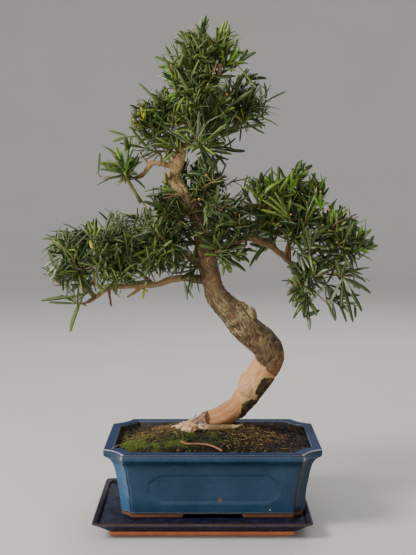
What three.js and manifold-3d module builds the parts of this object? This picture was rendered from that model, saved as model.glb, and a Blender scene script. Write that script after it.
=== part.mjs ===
// A podocarpus bonsai in a glazed cut-corner pot on its drip tray.
// Millimetres, +Z up, +X to the right of the front, +Y away from the front.
// The origin is the centre of the tray's underside, on the surface that it stands on.
import * as THREE from "three";
import { mergeVertices } from "three/addons/utils/BufferGeometryUtils.js";
import Module from "manifold-3d";

const wasm = await Module();
wasm.setup();

// Clearance between pieces that touch or are joined.
const GAP = 0.3;
// How far a corner may lie off a face and still be merged into it.
const SPLIT = 0.02;

// Tray: a solid foot pad, a flared wall and a sloping flange round a flat floor.
// Each ring of a profile is [height, inset from the outer edge].
const TRAY = {
  width: 296,
  depth: 220,
  corner: 6,
  padHeight: 4.7,
  padInset: 22,
  floor: 16.5,
  outer: [
    [4.7, 22],
    [10.5, 14.5],
    [18.0, 4],
    [20.6, 0],
    [22.2, 0],
    [23.0, 1],
  ],
  inner: [
    [23.0, 2.2],
    [20.6, 6.6],
    [18.4, 7.2],
    [16.5, 8],
  ],
};

// Pot: each ring of a profile is [drop below the rim's top, inset from the rim's edge].
const POT = {
  x: 13.8,
  y: 16,
  z: TRAY.floor + GAP,
  width: 300,
  depth: 215,
  height: 95.4,
  rimCut: 27,
  footCut: 15,
  rimScoop: 5.5,
  footScoop: 3.5,
  footHeight: 5.8,
  footInset: 24.4,
  footWall: 17,
  frontArch: 78,
  sideArch: 56,
  archSlant: 4,
  drainRadius: 10,
  drainOffset: 62,
  drainSides: 12,
  outer: [
    [89.6, 23.8],
    [57, 20.6],
    [43.5, 18.2],
    [29, 15.4],
    [18.5, 12],
    [13.8, 8],
    [11.2, 3.2],
    [8.6, 0.7],
    [4.6, 0],
    [1.3, 0.6],
    [0, 2],
  ],
  inner: [
    [0, 13.4],
    [9, 15.5],
    [30, 24],
    [80.4, 32],
  ],
};
const RIM_TOP = POT.z + POT.height;

// Soil: level near the rim, lower at the back left, heaped to a flat top under the trunk.
const SOIL = {
  edgeDrop: 7.4,
  edgeTilt: 3.2,
  edgeTiltToward: [-0.8, 0.6],
  top: 124.5,
  topCentre: [8, 10],
  topRadii: [60, 38],
  slopeRings: [0.3, 0.65, 1],
  slopePower: 1.25,
};

// Moss cushions that are let into the soil's slope.
const MOSS = [
  { name: "moss_left", at: [-93, -28, 104.5], radii: [23, 30, 6], tilt: 4 },
  { name: "moss_front", at: [-40, -42, 109.5], radii: [29, 29, 7.5], tilt: 15 },
  { name: "moss_centre", at: [20, -47, 111], radii: [28, 24, 7], tilt: 17 },
];

// Trunk stations, from below the ground cut to the leader's tip: [x, y, z, radius].
const TRUNK = [
  [-16, 20, 118, 13],
  [8, 20, 130, 13.6],
  [30, 18, 139.5, 15],
  [50.5, 15, 155, 15.6],
  [64.5, 12, 173, 17],
  [75, 8, 191.5, 19],
  [87, 5, 212, 20.4],
  [94, 4, 229, 20.2],
  [86, 6, 247, 20.2],
  [66, 8, 265, 20.2],
  [42.5, 12, 290.5, 19.3],
  [19, 16, 317, 14.6],
  [11, 17, 345, 13.6],
  [5.5, 18, 363, 15],
  [0, 17, 393, 12.8],
  [-11, 15, 430, 11],
  [-27, 15, 457, 9.8],
  [-38.5, 15, 478, 8.8],
  [-36, 16, 500, 7.2],
  [-24, 18, 522, 5.4],
  [-8, 18, 543, 4.9],
  [3, 18, 572, 4.4],
  [10, 17, 598, 3.8],
  [18, 17, 622, 3],
];
const TRUNK_SIDES = 10;
const TRUNK_STEPS = 42;
const FLARE = { lobes: 4, share: 0.22, upTo: 3.2 };
const FLUTES = { count: 3, share: 0.035, turnPerStation: 0.7 };
const TRUNK_LIMB_SIDES = 6;
const BURL_SIDES = 8;

// Old pruning stubs, burls and surface roots that are one with the trunk.
const TRUNK_LIMBS = [
  { points: [[-36, 16, 500, 6.6], [-33, 16, 511, 6.4], [-28, 17, 524, 6.2]] },
  { points: [[-40, 14, 474, 5], [-49, 13, 479, 4.4], [-54, 12, 476, 3.6]] },
  { points: [[-8, 14, 132, 8], [-20, 2, 129, 6.4], [-33, -4, 126.5, 4.6]] },
  { points: [[-4, 12, 131, 7], [-12, -6, 129, 5.2], [-20, -16, 127, 3.6]] },
  { points: [[-14, 6, 129, 5], [4, -7, 128.6, 4.8], [28, -8, 129, 4.5], [50, -6, 130, 4.2]] },
];
const BURLS = [
  { at: [53, 9, 293], radii: [14, 14, 14.5] },
  { at: [-44, 14, 466], radii: [8, 7, 8] },
  { at: [9, 11, 366], radii: [12, 11, 14] },
];

// Boughs: each is one tapering limb, set on the trunk or on another bough.
const BOUGHS = [
  {
    name: "left_bough",
    on: "trunk",
    points: [[8, 17, 336, 6.4], [-17, 16, 339, 5.6], [-42, 13, 338, 4.7], [-65, 10, 331, 4.2],
      [-88, 8, 329, 3.9], [-130, 6, 327, 3.4], [-149, 6, 314, 3]],
  },
  {
    name: "left_front_riser",
    on: "left_bough",
    points: [[-98, 8, 329, 2.9], [-107, 1, 338, 2.6], [-113, -4, 346, 2.3]],
  },
  {
    name: "left_back_riser",
    on: "left_bough",
    points: [[-70, 10, 330, 3.2], [-82, 26, 339, 2.8], [-92, 38, 346, 2.4]],
  },
  {
    name: "left_dead_spur",
    on: "left_bough",
    points: [[-132, 5, 326, 2.2], [-131, 3, 314, 1.9], [-129, 2, 300, 1.3]],
  },
  {
    name: "inner_left_bough",
    on: "trunk",
    points: [[4, 17, 355, 4.6], [-12, 14, 362, 3.9], [-32, 10, 376, 3]],
  },
  {
    name: "right_bough",
    on: "trunk",
    points: [[2, 17, 377, 7.2], [16, 15, 380, 6.4], [39, 12, 384, 5.4], [61, 11, 397, 5],
      [79, 12, 392, 4.6], [95, 13, 385, 4.4], [112, 14, 373, 4.2], [126, 15, 360, 3.8],
      [146, 17, 356, 3.1]],
  },
  {
    name: "right_inner_riser",
    on: "right_bough",
    points: [[62, 11, 397, 3.3], [69, 8, 408, 2.9], [76, 6, 416, 2.5]],
  },
  {
    name: "right_mid_riser",
    on: "right_bough",
    points: [[122, 15, 364, 3], [123, 18, 384, 2.6], [130, 20, 404, 2.3]],
  },
  {
    name: "right_far_riser",
    on: "right_bough",
    points: [[133, 16, 358, 2.8], [150, 12, 371, 2.5], [166, 11, 382, 2.2]],
  },
  {
    name: "right_low_spur",
    on: "right_bough",
    points: [[124, 15, 361, 3], [132, 11, 350, 2.6], [140, 8, 340, 2.3]],
  },
  {
    name: "right_back_riser",
    on: "right_bough",
    points: [[86, 12, 389, 3.2], [95, 30, 391, 2.8], [102, 42, 394, 2.4]],
  },
  {
    name: "upper_left_bough",
    on: "trunk",
    points: [[-36, 16, 496, 5], [-56, 15, 500, 3.8], [-70, 14, 501, 3.4], [-77, 14, 494, 3.1],
      [-84, 14, 485, 2.8], [-95, 15, 481, 2.5]],
  },
  {
    name: "crown_left_bough",
    on: "trunk",
    points: [[-23, 18, 523, 3.4], [-38, 15, 534, 2.8], [-49, 14, 542, 2.4]],
  },
  {
    name: "crown_right_bough",
    on: "trunk",
    points: [[-9, 18, 541, 3.4], [20, 19, 542, 2.9], [38, 20, 549, 2.4]],
  },
];
const BOUGH_SIDES = 6;
const BOUGH_STEPS_PER_SPAN = 2;

// Foliage masses: the reach of each is an ellipsoid about its centre.
// Its stem leaves a bough's tip, the trunk's tip, or the trunk's side at a station number.
const MASSES = [
  { name: "foliage_apex", tipOf: "trunk", at: [5, 17, 646], radii: [54, 52, 60] },
  { name: "foliage_leader", station: 22.1, at: [-6, -8, 608], radii: [50, 46, 46] },
  { name: "foliage_crown_left", tipOf: "crown_left_bough", at: [-66, 14, 560], radii: [50, 50, 54] },
  { name: "foliage_crown_right", tipOf: "crown_right_bough", at: [56, 22, 580], radii: [48, 50, 52] },
  { name: "foliage_crown_front", station: 20.2, at: [0, -26, 556], radii: [52, 46, 50] },
  { name: "foliage_crown_back", station: 20.9, at: [2, 60, 570], radii: [54, 48, 56] },
  { name: "foliage_left_tuft", tipOf: "upper_left_bough", at: [-112, 17, 494], radii: [42, 44, 50] },
  { name: "foliage_centre_front", station: 15.6, at: [24, -22, 462], radii: [50, 46, 50] },
  { name: "foliage_centre_back", station: 15.3, at: [-4, 62, 452], radii: [56, 48, 58] },
  { name: "foliage_centre_left", station: 14.7, at: [-36, -26, 440], radii: [44, 44, 46] },
  { name: "foliage_centre_low", station: 13.9, at: [30, -30, 394], radii: [48, 46, 48] },
  { name: "foliage_inner_left", tipOf: "inner_left_bough", at: [-60, 4, 388], radii: [46, 50, 56] },
  { name: "foliage_mid_left", tipOf: "left_front_riser", at: [-122, -12, 374], radii: [50, 50, 62] },
  { name: "foliage_back_left", tipOf: "left_back_riser", at: [-104, 62, 378], radii: [56, 50, 62] },
  { name: "foliage_far_left", tipOf: "left_bough", at: [-184, 12, 356], radii: [50, 54, 66] },
  { name: "foliage_right_inner", tipOf: "right_inner_riser", at: [86, 0, 440], radii: [46, 50, 56] },
  { name: "foliage_right_mid", tipOf: "right_mid_riser", at: [142, 18, 446], radii: [48, 52, 56] },
  { name: "foliage_right_far", tipOf: "right_far_riser", at: [196, 8, 396], radii: [46, 52, 56] },
  { name: "foliage_right_lower", tipOf: "right_bough", at: [190, 24, 334], radii: [50, 52, 60] },
  { name: "foliage_right_low", tipOf: "right_low_spur", at: [146, -6, 324], radii: [42, 46, 58] },
  { name: "foliage_right_back", tipOf: "right_back_riser", at: [112, 70, 402], radii: [56, 48, 60] },
];

// The growth rule's own sizes.
const GROWTH = {
  tufts: 6,
  leaves: 21,
  tuftInner: 0.2,
  tuftOuter: 0.78,
  tuftSpacing: 12,
  tuftTries: 90,
  tuftClear: 3,
  shortestTwig: 6,
  leafTurns: 16,
  leafTries: 16,
  leanOutward: 0.8,
  leanUp: 0.4,
  leastLean: 0.2,
  mostLean: 1.45,
  pathWeight: 0.35,
  stemStart: 5,
  hubShare: 0.45,
  stemRadius: 2.3,
  twigRadius: 2.1,
  rootRadius: 1.0,
  tipRadius: 1.9,
  limbClear: 1.2,
  cellClear: 0.6,
};
const LEAF = {
  shortest: 36,
  longest: 53,
  width: 12,
  rootThick: 1.3,
  thick: 2,
  widest: 0.5,
  rootsBack: 20,
  rootsShare: 0.8,
  apart: 5.5,
};
const GOLDEN_ANGLE = Math.PI * (3 - Math.sqrt(5));

// Colours and finish of each kind of piece.
const FINISH = {
  glaze: new THREE.MeshStandardMaterial({ color: 0x2f5f8c, roughness: 0.25, metalness: 0 }),
  trayGlaze: new THREE.MeshStandardMaterial({ color: 0x26315e, roughness: 0.3, metalness: 0 }),
  soil: new THREE.MeshStandardMaterial({ color: 0x3a2a1e, roughness: 1, metalness: 0 }),
  moss: new THREE.MeshStandardMaterial({ color: 0x5f8419, roughness: 1, metalness: 0 }),
  bark: new THREE.MeshStandardMaterial({ color: 0x9b7450, roughness: 0.85, metalness: 0 }),
  leaf: new THREE.MeshStandardMaterial({ color: 0x3f5e26, roughness: 0.5, metalness: 0 }),
};

const point = ([x, y, z]) => new THREE.Vector3(x, y, z);
const UP = new THREE.Vector3(0, 0, 1);

// A closed geometry as a solid that can be joined and cut.
function solidOf(geometry) {
  const bare = geometry.clone();
  bare.deleteAttribute("normal");
  bare.deleteAttribute("uv");
  const merged = mergeVertices(bare, 1e-4);
  return new wasm.Manifold(
    new wasm.Mesh({
      numProp: 3,
      vertProperties: merged.attributes.position.array,
      triVerts: new Uint32Array(merged.index.array),
    }),
  );
}

// The largest body of a solid, without the loose scraps that cuts and joins leave.
function largestBody(solid) {
  return solid.decompose().reduce((best, body) => (body.volume() > best.volume() ? body : best));
}

// A solid as a named mesh, with the faces that joins and cuts have split made whole again.
function meshOf(name, solid, material) {
  const data = largestBody(solid).asOriginal().simplify(SPLIT).getMesh();
  const geometry = new THREE.BufferGeometry();
  geometry.setAttribute("position", new THREE.BufferAttribute(data.vertProperties, 3));
  geometry.setIndex(new THREE.BufferAttribute(data.triVerts, 1));
  geometry.computeVertexNormals();
  const mesh = new THREE.Mesh(geometry, material);
  mesh.name = name;
  return mesh;
}

// A skin over rings of equal count, closed by a fan at each end.
function loft(rings) {
  const count = rings[0].length;
  const vertices = rings.flat();
  const ends = [rings[0], rings.at(-1)].map((ring) =>
    ring.reduce((sum, p) => sum.add(p), new THREE.Vector3()).divideScalar(count),
  );
  vertices.push(...ends);
  const [first, last] = [vertices.length - 2, vertices.length - 1];
  const faces = [];
  for (let i = 0; i < count; i++) {
    const next = (i + 1) % count;
    faces.push(first, next, i);
    for (let r = 0; r + 1 < rings.length; r++) {
      const low = r * count;
      const high = low + count;
      faces.push(low + i, low + next, high + next, low + i, high + next, high + i);
    }
    const top = (rings.length - 1) * count;
    faces.push(last, top + i, top + next);
  }
  const geometry = new THREE.BufferGeometry().setFromPoints(vertices);
  geometry.setIndex(faces);
  return geometry;
}

// A rectangle with cut corners, counterclockwise. A scoop above 0 hollows the cut inwards,
// and one below 0 rounds the corner outwards.
const CORNER_STEPS = 3;
function cutCornerPlan(width, depth, cut, scoop, sideSteps = 1) {
  const [w, d] = [width / 2, depth / 2];
  const corners = [[1, -1], [1, 1], [-1, 1], [-1, -1]];
  const path = new THREE.Path();
  path.moveTo(-w + cut, -d);
  corners.forEach(([sx, sy], i) => {
    const alongX = new THREE.Vector2(sx * (w - cut), sy * d);
    const alongY = new THREE.Vector2(sx * w, sy * (d - cut));
    const [from, to] = i % 2 === 0 ? [alongX, alongY] : [alongY, alongX];
    const inward = new THREE.Vector2(-sx, -sy).normalize();
    const control = from.clone().add(to).multiplyScalar(0.5).addScaledVector(inward, 2 * scoop);
    path.lineTo(from.x, from.y);
    path.quadraticCurveTo(control.x, control.y, to.x, to.y);
  });
  return path.curves.flatMap((curve) => {
    const steps = curve.isLineCurve ? sideSteps : CORNER_STEPS;
    return Array.from({ length: steps }, (_, i) => curve.getPoint(i / steps));
  });
}

// A plan's points at one height.
const ringAt = (plan, z) => plan.map((p) => new THREE.Vector3(p.x, p.y, z));

// The y value at x on a broken line of [x, y] points whose x runs either way.
function valueOn(line, x) {
  for (let i = 0; i + 1 < line.length; i++) {
    const [x0, y0] = line[i];
    const [x1, y1] = line[i + 1];
    if ((x - x0) * (x - x1) <= 0) return y0 + ((x - x0) / (x1 - x0)) * (y1 - y0);
  }
  throw new Error("off the line");
}

function makeTray() {
  const round = (inset) => {
    const cut = Math.max(TRAY.corner - inset * 0.2, 2);
    return cutCornerPlan(TRAY.width - 2 * inset, TRAY.depth - 2 * inset, cut, -0.354 * cut);
  };
  const body = loft([...TRAY.outer, ...TRAY.inner].map(([z, inset]) => ringAt(round(inset), z)));
  const pad = loft([0, TRAY.padHeight + 1].map((z) => ringAt(round(TRAY.padInset), z)));
  return meshOf("tray", solidOf(body).add(solidOf(pad)), FINISH.trayGlaze);
}

// The pot's plan at a drop below the rim: its corner cut narrows towards the foot.
function potPlan(drop, inset, sideSteps) {
  const share = THREE.MathUtils.clamp(drop / POT.height, 0, 1);
  const cut = THREE.MathUtils.lerp(POT.rimCut, POT.footCut, share);
  const scoop = THREE.MathUtils.lerp(POT.rimScoop, POT.footScoop, share);
  return cutCornerPlan(POT.width - 2 * inset, POT.depth - 2 * inset, cut, scoop, sideSteps);
}

// A bar with a trapezoid section, along Y, that cuts the arch between two feet.
function archCutter(width, length) {
  const half = width / 2;
  const section = new THREE.Shape();
  section.moveTo(-half - POT.archSlant, -1);
  section.lineTo(half + POT.archSlant, -1);
  section.lineTo(half, POT.footHeight);
  section.lineTo(-half, POT.footHeight);
  section.closePath();
  const bar = new THREE.ExtrudeGeometry(section, { depth: length, bevelEnabled: false });
  return bar.translate(0, 0, -length / 2).rotateX(Math.PI / 2);
}

function makePot() {
  const shell = loft(
    [...POT.outer, ...POT.inner].map(([drop, inset]) =>
      ringAt(potPlan(drop, inset), POT.height - drop),
    ),
  );
  const footPlan = potPlan(POT.height, POT.footInset);
  const innerPlan = potPlan(POT.height, POT.footInset + POT.footWall);
  const feet = solidOf(loft([0, POT.footHeight + 1].map((z) => ringAt(footPlan, z))))
    .subtract(solidOf(loft([-1, POT.footHeight].map((z) => ringAt(innerPlan, z)))))
    .subtract(solidOf(archCutter(POT.frontArch, POT.depth)))
    .subtract(solidOf(archCutter(POT.sideArch, POT.width).rotateZ(Math.PI / 2)));
  let solid = solidOf(shell).add(feet);
  for (const side of [-1, 1]) {
    const { drainRadius, drainSides, drainOffset, height } = POT;
    const drain = new THREE.CylinderGeometry(drainRadius, drainRadius, height, drainSides);
    drain.rotateX(Math.PI / 2).translate(side * drainOffset, 0, 0);
    solid = solid.subtract(solidOf(drain));
  }
  const mesh = meshOf("pot", solid, FINISH.glaze);
  mesh.position.set(POT.x, POT.y, POT.z);
  return mesh;
}

// An ellipsoid on a sphere of few faces.
function ellipsoid({ at, radii, tilt = 0 }, grow = 0, sides = 12) {
  const [rx, ry, rz] = radii.map((r) => r + grow);
  return new THREE.SphereGeometry(1, sides, sides / 2)
    .rotateX(Math.PI / 2)
    .scale(rx, ry, rz)
    .rotateX(THREE.MathUtils.degToRad(tilt))
    .translate(...at);
}

function makeSoil() {
  const sideSteps = 3;
  const toward = new THREE.Vector2(...SOIL.edgeTiltToward);
  const ringBelow = (drop) => {
    const inset = valueOn(POT.inner, drop) + GAP;
    return potPlan(drop, inset, sideSteps).map(
      (p) => new THREE.Vector3(p.x + POT.x, p.y + POT.y, RIM_TOP - drop),
    );
  };
  const [floorDrop] = POT.inner.at(-1);
  const wallDrop = POT.inner.at(-2)[0];
  const edge = ringBelow(SOIL.edgeDrop).map((p, i) => {
    const out = new THREE.Vector2(p.x - POT.x, p.y - POT.y).normalize();
    return ringBelow(SOIL.edgeDrop + SOIL.edgeTilt * out.dot(toward))[i];
  });
  const [cx, cy] = SOIL.topCentre;
  const topRing = edge.map((p) => {
    const angle = Math.atan2((p.y - cy) / POT.depth, (p.x - cx) / POT.width);
    const [rx, ry] = SOIL.topRadii;
    return new THREE.Vector3(cx + rx * Math.cos(angle), cy + ry * Math.sin(angle), SOIL.top);
  });
  const slope = SOIL.slopeRings.map((share) =>
    edge.map((p, i) => {
      const at = p.clone().lerp(topRing[i], share);
      return at.setZ(p.z + (SOIL.top - p.z) * share ** SOIL.slopePower);
    }),
  );
  let solid = solidOf(loft([ringBelow(floorDrop - GAP), ringBelow(wallDrop), edge, ...slope]));
  for (const cushion of MOSS) solid = solid.subtract(solidOf(ellipsoid(cushion, GAP)));
  return meshOf("soil", solid, FINISH.soil);
}

function makeMoss(cushion) {
  return meshOf(cushion.name, solidOf(ellipsoid(cushion)), FINISH.moss);
}

// A limb's centre line, and its radius at any place along it.
class Limb {
  constructor(stations) {
    this.curve = new THREE.CatmullRomCurve3(stations.map(point), false, "catmullrom", 0.5);
    this.radii = stations.map((station) => station[3]);
    this.spans = stations.length - 1;
  }
  at(share) {
    return this.curve.getPoint(share);
  }
  radius(share) {
    const place = Math.min(share * this.spans, this.spans - 1e-9);
    const low = Math.floor(place);
    return THREE.MathUtils.lerp(this.radii[low], this.radii[low + 1], place - low);
  }
  tangent(share) {
    return this.curve.getTangent(share);
  }
  // Balls along the limb that stand for it in the tests for clearance.
  balls(spacing = 3) {
    const count = Math.ceil(this.curve.getLength() / spacing);
    return Array.from({ length: count + 1 }, (_, i) => {
      const share = this.curve.getUtoTmapping(i / count);
      return { at: this.at(share), radius: this.radius(share) };
    });
  }
}

// The skin of a limb: rings that turn as little as they can from one to the next.
function limbGeometry(limb, sides, steps, grow = 0, relief = () => 1) {
  let normal = null;
  const rings = Array.from({ length: steps + 1 }, (_, i) => {
    const share = limb.curve.getUtoTmapping(i / steps);
    const tangent = limb.tangent(share);
    normal ??= new THREE.Vector3().crossVectors(tangent, new THREE.Vector3(0, 1, 0.01));
    normal.addScaledVector(tangent, -normal.dot(tangent)).normalize();
    const side = new THREE.Vector3().crossVectors(tangent, normal);
    const centre = limb.at(share);
    return Array.from({ length: sides }, (_, k) => {
      const angle = (2 * Math.PI * k) / sides;
      const reach = limb.radius(share) * relief(share, angle) + grow;
      return centre
        .clone()
        .addScaledVector(normal, reach * Math.cos(angle))
        .addScaledVector(side, reach * Math.sin(angle));
    });
  });
  return loft(rings);
}

const trunk = new Limb(TRUNK);
const boughs = new Map(BOUGHS.map(({ name, points }) => [name, new Limb(points)]));

// The trunk's flare, whose lobes die out a few stations above the ground, and its shallow flutes.
function trunkRelief(share, angle) {
  const station = share * trunk.spans;
  const fade = Math.max(0, 1 - station / FLARE.upTo);
  const flute = Math.sin(FLUTES.count * angle + FLUTES.turnPerStation * station);
  return 1 + FLARE.share * fade * Math.cos(FLARE.lobes * angle) + FLUTES.share * flute;
}

function trunkSolid(grow = 0) {
  let solid = solidOf(limbGeometry(trunk, TRUNK_SIDES, TRUNK_STEPS, grow, trunkRelief));
  for (const { points } of TRUNK_LIMBS) {
    const limb = new Limb(points);
    const steps = BOUGH_STEPS_PER_SPAN * limb.spans;
    solid = solid.add(solidOf(limbGeometry(limb, TRUNK_LIMB_SIDES, steps, grow)));
  }
  for (const burl of BURLS) solid = solid.add(solidOf(ellipsoid(burl, grow, BURL_SIDES)));
  return solid;
}

function makeTrunk() {
  const size = 400;
  const below = new THREE.BoxGeometry(size, size, size).translate(0, 0, SOIL.top + GAP - size / 2);
  return meshOf("trunk", trunkSolid().subtract(solidOf(below)), FINISH.bark);
}

function boughSolid(name, grow = 0) {
  const limb = boughs.get(name);
  return solidOf(limbGeometry(limb, BOUGH_SIDES, BOUGH_STEPS_PER_SPAN * limb.spans, grow));
}

function makeBough({ name, on }) {
  const seat = on === "trunk" ? trunkSolid(GAP) : boughSolid(on, GAP);
  return meshOf(name, boughSolid(name).subtract(seat), FINISH.bark);
}

// A small repeatable random number generator, from 0 to 1.
function seededRandom(seed) {
  let state = seed >>> 0;
  return () => {
    state = (state + 0x6d2b79f5) >>> 0;
    let mixed = Math.imul(state ^ (state >>> 15), 1 | state);
    mixed = (mixed + Math.imul(mixed ^ (mixed >>> 7), 61 | mixed)) ^ mixed;
    return ((mixed ^ (mixed >>> 14)) >>> 0) / 4294967296;
  };
}

const masses = MASSES.map((mass, i) => ({
  ...mass,
  seed: 1000 + 17 * i,
  centre: point(mass.at),
  weight: (mass.radii.reduce((sum, r) => sum + r) / 3) ** 2,
}));
const limbBalls = [trunk, ...boughs.values(), ...TRUNK_LIMBS.map(({ points }) => new Limb(points))]
  .flatMap((limb) => limb.balls());

// How far out a point lies in a mass's ellipsoid: 1 is its edge.
function reachShare(mass, p) {
  const d = p.clone().sub(mass.centre);
  const [rx, ry, rz] = mass.radii;
  return Math.hypot(d.x / rx, d.y / ry, d.z / rz);
}

// Whether a ball is on a mass's own side of the plane that divides it from each other mass.
function inOwnCell(mass, p, radius) {
  return masses.every((other) => {
    if (other === mass) return true;
    const apart = mass.centre.distanceTo(other.centre);
    const own = p.distanceToSquared(mass.centre) - mass.weight;
    const theirs = p.distanceToSquared(other.centre) - other.weight;
    return (theirs - own) / (2 * apart) > radius + GROWTH.cellClear;
  });
}

// Whether a ball is clear of the trunk and of every bough.
function clearOfLimbs(p, radius) {
  return limbBalls.every((ball) => p.distanceTo(ball.at) > ball.radius + radius + GROWTH.limbClear);
}

// Whether a straight piece keeps to its mass's space and clear of the limbs.
function strokeFits(mass, from, to, radius) {
  for (let share = 0.2; share < 1.01; share += 0.2) {
    const p = from.clone().lerp(to, share);
    if (!clearOfLimbs(p, radius)) return false;
  }
  return inOwnCell(mass, to, radius) && inOwnCell(mass, from, radius) && reachShare(mass, to) < 1;
}

// Where a mass's stem starts, and the way that it leaves.
function stemOf(mass) {
  if (mass.station === undefined) {
    const limb = mass.tipOf === "trunk" ? trunk : boughs.get(mass.tipOf);
    const way = limb.tangent(1);
    return { start: limb.at(1).addScaledVector(way, GAP), way };
  }
  const start = trunk.at(mass.station / trunk.spans);
  const way = mass.centre.clone().sub(start).normalize();
  return { start, way };
}

// Of several tries, the one whose end lies furthest from all that are there, or null.
function mostApart(tries, atLeast, others, make) {
  let best = null;
  let widest = atLeast;
  for (let n = 0; n < tries; n++) {
    const made = make();
    if (!made) continue;
    const gap = Math.min(...others.map((other) => other.distanceTo(made.at)), Infinity);
    if (gap > widest) [best, widest] = [made, gap];
  }
  return best;
}

// The twigs and leaves of a mass, as plain lists.
function growMass(mass, rule = GROWTH) {
  const random = seededRandom(mass.seed);
  const { start, way } = stemOf(mass);
  const lead = mass.station === undefined
    ? rule.stemStart
    : trunk.radius(mass.station / trunk.spans) + rule.stemStart;
  const first = start.clone().addScaledVector(way, lead);
  const hub = first.clone().lerp(mass.centre, rule.hubShare);
  const knots = [
    { at: start, path: 0 },
    { at: first, path: lead },
    { at: hub, path: lead + first.distanceTo(hub) },
  ];
  const twigs = [
    { from: start, to: first, thick: rule.stemRadius, thin: rule.stemRadius },
    { from: first, to: hub, thick: rule.twigRadius, thin: rule.twigRadius },
  ];
  const tufts = [{ at: hub, way: hub.clone().sub(first).normalize(), length: first.distanceTo(hub) }];
  const goals = [];
  for (let n = 0; n < rule.tufts; n++) {
    const goal = mostApart(rule.tuftTries, rule.tuftSpacing, [hub, ...goals], () => {
      const toward = new THREE.Vector3(random() - 0.5, random() - 0.5, random() - 0.45).normalize();
      const out = THREE.MathUtils.lerp(rule.tuftInner, rule.tuftOuter, random() ** 0.5);
      const at = toward.multiplyScalar(out).multiply(point(mass.radii)).add(mass.centre);
      const free = inOwnCell(mass, at, rule.tuftClear) && clearOfLimbs(at, rule.tuftClear);
      return free ? { at } : null;
    });
    if (goal) goals.push(goal.at);
  }
  goals.sort((a, b) => a.distanceTo(hub) - b.distanceTo(hub));
  for (const goal of goals) {
    const costs = knots.slice(1).map((knot) => ({
      knot,
      cost: knot.at.distanceTo(goal) + rule.pathWeight * knot.path,
    }));
    const { knot } = costs.reduce((best, item) => (item.cost < best.cost ? item : best));
    const length = knot.at.distanceTo(goal);
    if (length < rule.shortestTwig) continue;
    if (!strokeFits(mass, knot.at, goal, rule.twigRadius)) continue;
    twigs.push({ from: knot.at, to: goal, thick: rule.rootRadius, thin: rule.tipRadius });
    knots.push({ at: goal, path: knot.path + length });
    tufts.push({ at: goal, way: goal.clone().sub(knot.at).normalize(), length });
  }
  return { twigs, leaves: growLeaves(mass, tufts, twigs, random, rule) };
}

// How near a point comes to a straight piece.
function distanceToStroke(p, from, to) {
  return new THREE.Line3(from, to).closestPointToPoint(p, true, new THREE.Vector3()).distanceTo(p);
}

// Leaves round the ends of the twigs, one at a time on each in turn, spread evenly.
function growLeaves(mass, tufts, twigs, random, rule) {
  const leaves = [];
  const strokes = twigs.map(({ from, to }) => [from, to]);
  for (let turn = 0; turn < rule.leafTurns; turn++) {
    for (const tuft of tufts) {
      if (leaves.length >= rule.leaves) return leaves;
      const tips = leaves.map((leaf) => leaf.at);
      const leaf = mostApart(rule.leafTries, 0, tips, () =>
        leafTry(mass, tuft, turn, strokes, random, rule),
      );
      if (!leaf) continue;
      leaves.push(leaf);
      strokes.push([leaf.root.clone().addScaledVector(leaf.way, LEAF.apart), leaf.at]);
    }
  }
  return leaves;
}

// A leaf at a random lean about a twig's end, or null where it would leave the space,
// touch a limb or lie on another leaf.
function leafTry(mass, tuft, turn, strokes, random, rule) {
  const outward = tuft.at.clone().sub(mass.centre).normalize();
  const axis = tuft.way.clone();
  axis.addScaledVector(outward, rule.leanOutward).addScaledVector(UP, rule.leanUp).normalize();
  const across = new THREE.Vector3().crossVectors(axis, new THREE.Vector3(0.31, 0.94, 0.12)).normalize();
  const lean = THREE.MathUtils.lerp(rule.leastLean, rule.mostLean, random());
  const way = across
    .applyAxisAngle(axis, turn * GOLDEN_ANGLE + 2 * Math.PI * random())
    .multiplyScalar(Math.sin(lean))
    .addScaledVector(axis, Math.cos(lean));
  const back = random() * Math.min(LEAF.rootsBack, LEAF.rootsShare * tuft.length);
  const root = tuft.at.clone().addScaledVector(tuft.way, -back);
  const length = THREE.MathUtils.lerp(LEAF.shortest, LEAF.longest, random());
  const tip = root.clone().addScaledVector(way, length);
  const broad = root.clone().addScaledVector(way, length * LEAF.widest);
  const clear = root.clone().addScaledVector(way, LEAF.apart);
  const alone = [0.25, 0.4, 0.6, 0.8, 1].every((share) => {
    const p = root.clone().lerp(tip, share);
    return strokes.every(([from, to]) => distanceToStroke(p, from, to) > LEAF.apart);
  });
  const fits =
    alone &&
    reachShare(mass, tip) < 1 &&
    inOwnCell(mass, tip, 0) &&
    inOwnCell(mass, broad, LEAF.width / 2) &&
    strokeFits(mass, clear, tip, LEAF.width / 2);
  return fits ? { root, way, length, face: axis, at: tip } : null;
}

// A three-sided twig, which starts in the middle of the one before it.
function twigGeometry({ from, to, thick, thin }) {
  const way = to.clone().sub(from).normalize();
  const side = new THREE.Vector3().crossVectors(way, new THREE.Vector3(0.2, 0.3, 0.93)).normalize();
  const up = new THREE.Vector3().crossVectors(way, side);
  const ring = (centre, radius) =>
    [0, 1, 2].map((k) =>
      centre
        .clone()
        .addScaledVector(side, radius * Math.cos((2 * Math.PI * k) / 3))
        .addScaledVector(up, radius * Math.sin((2 * Math.PI * k) / 3)),
    );
  return prism(ring(from, thick), ring(to, thin));
}

// A three-sided solid between two triangles.
function prism(low, high) {
  const geometry = new THREE.BufferGeometry().setFromPoints([...low, ...high]);
  geometry.setIndex([0, 2, 1, 3, 4, 5, 0, 1, 4, 0, 4, 3, 1, 2, 5, 1, 5, 4, 2, 0, 3, 2, 3, 5]);
  return geometry;
}

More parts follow.
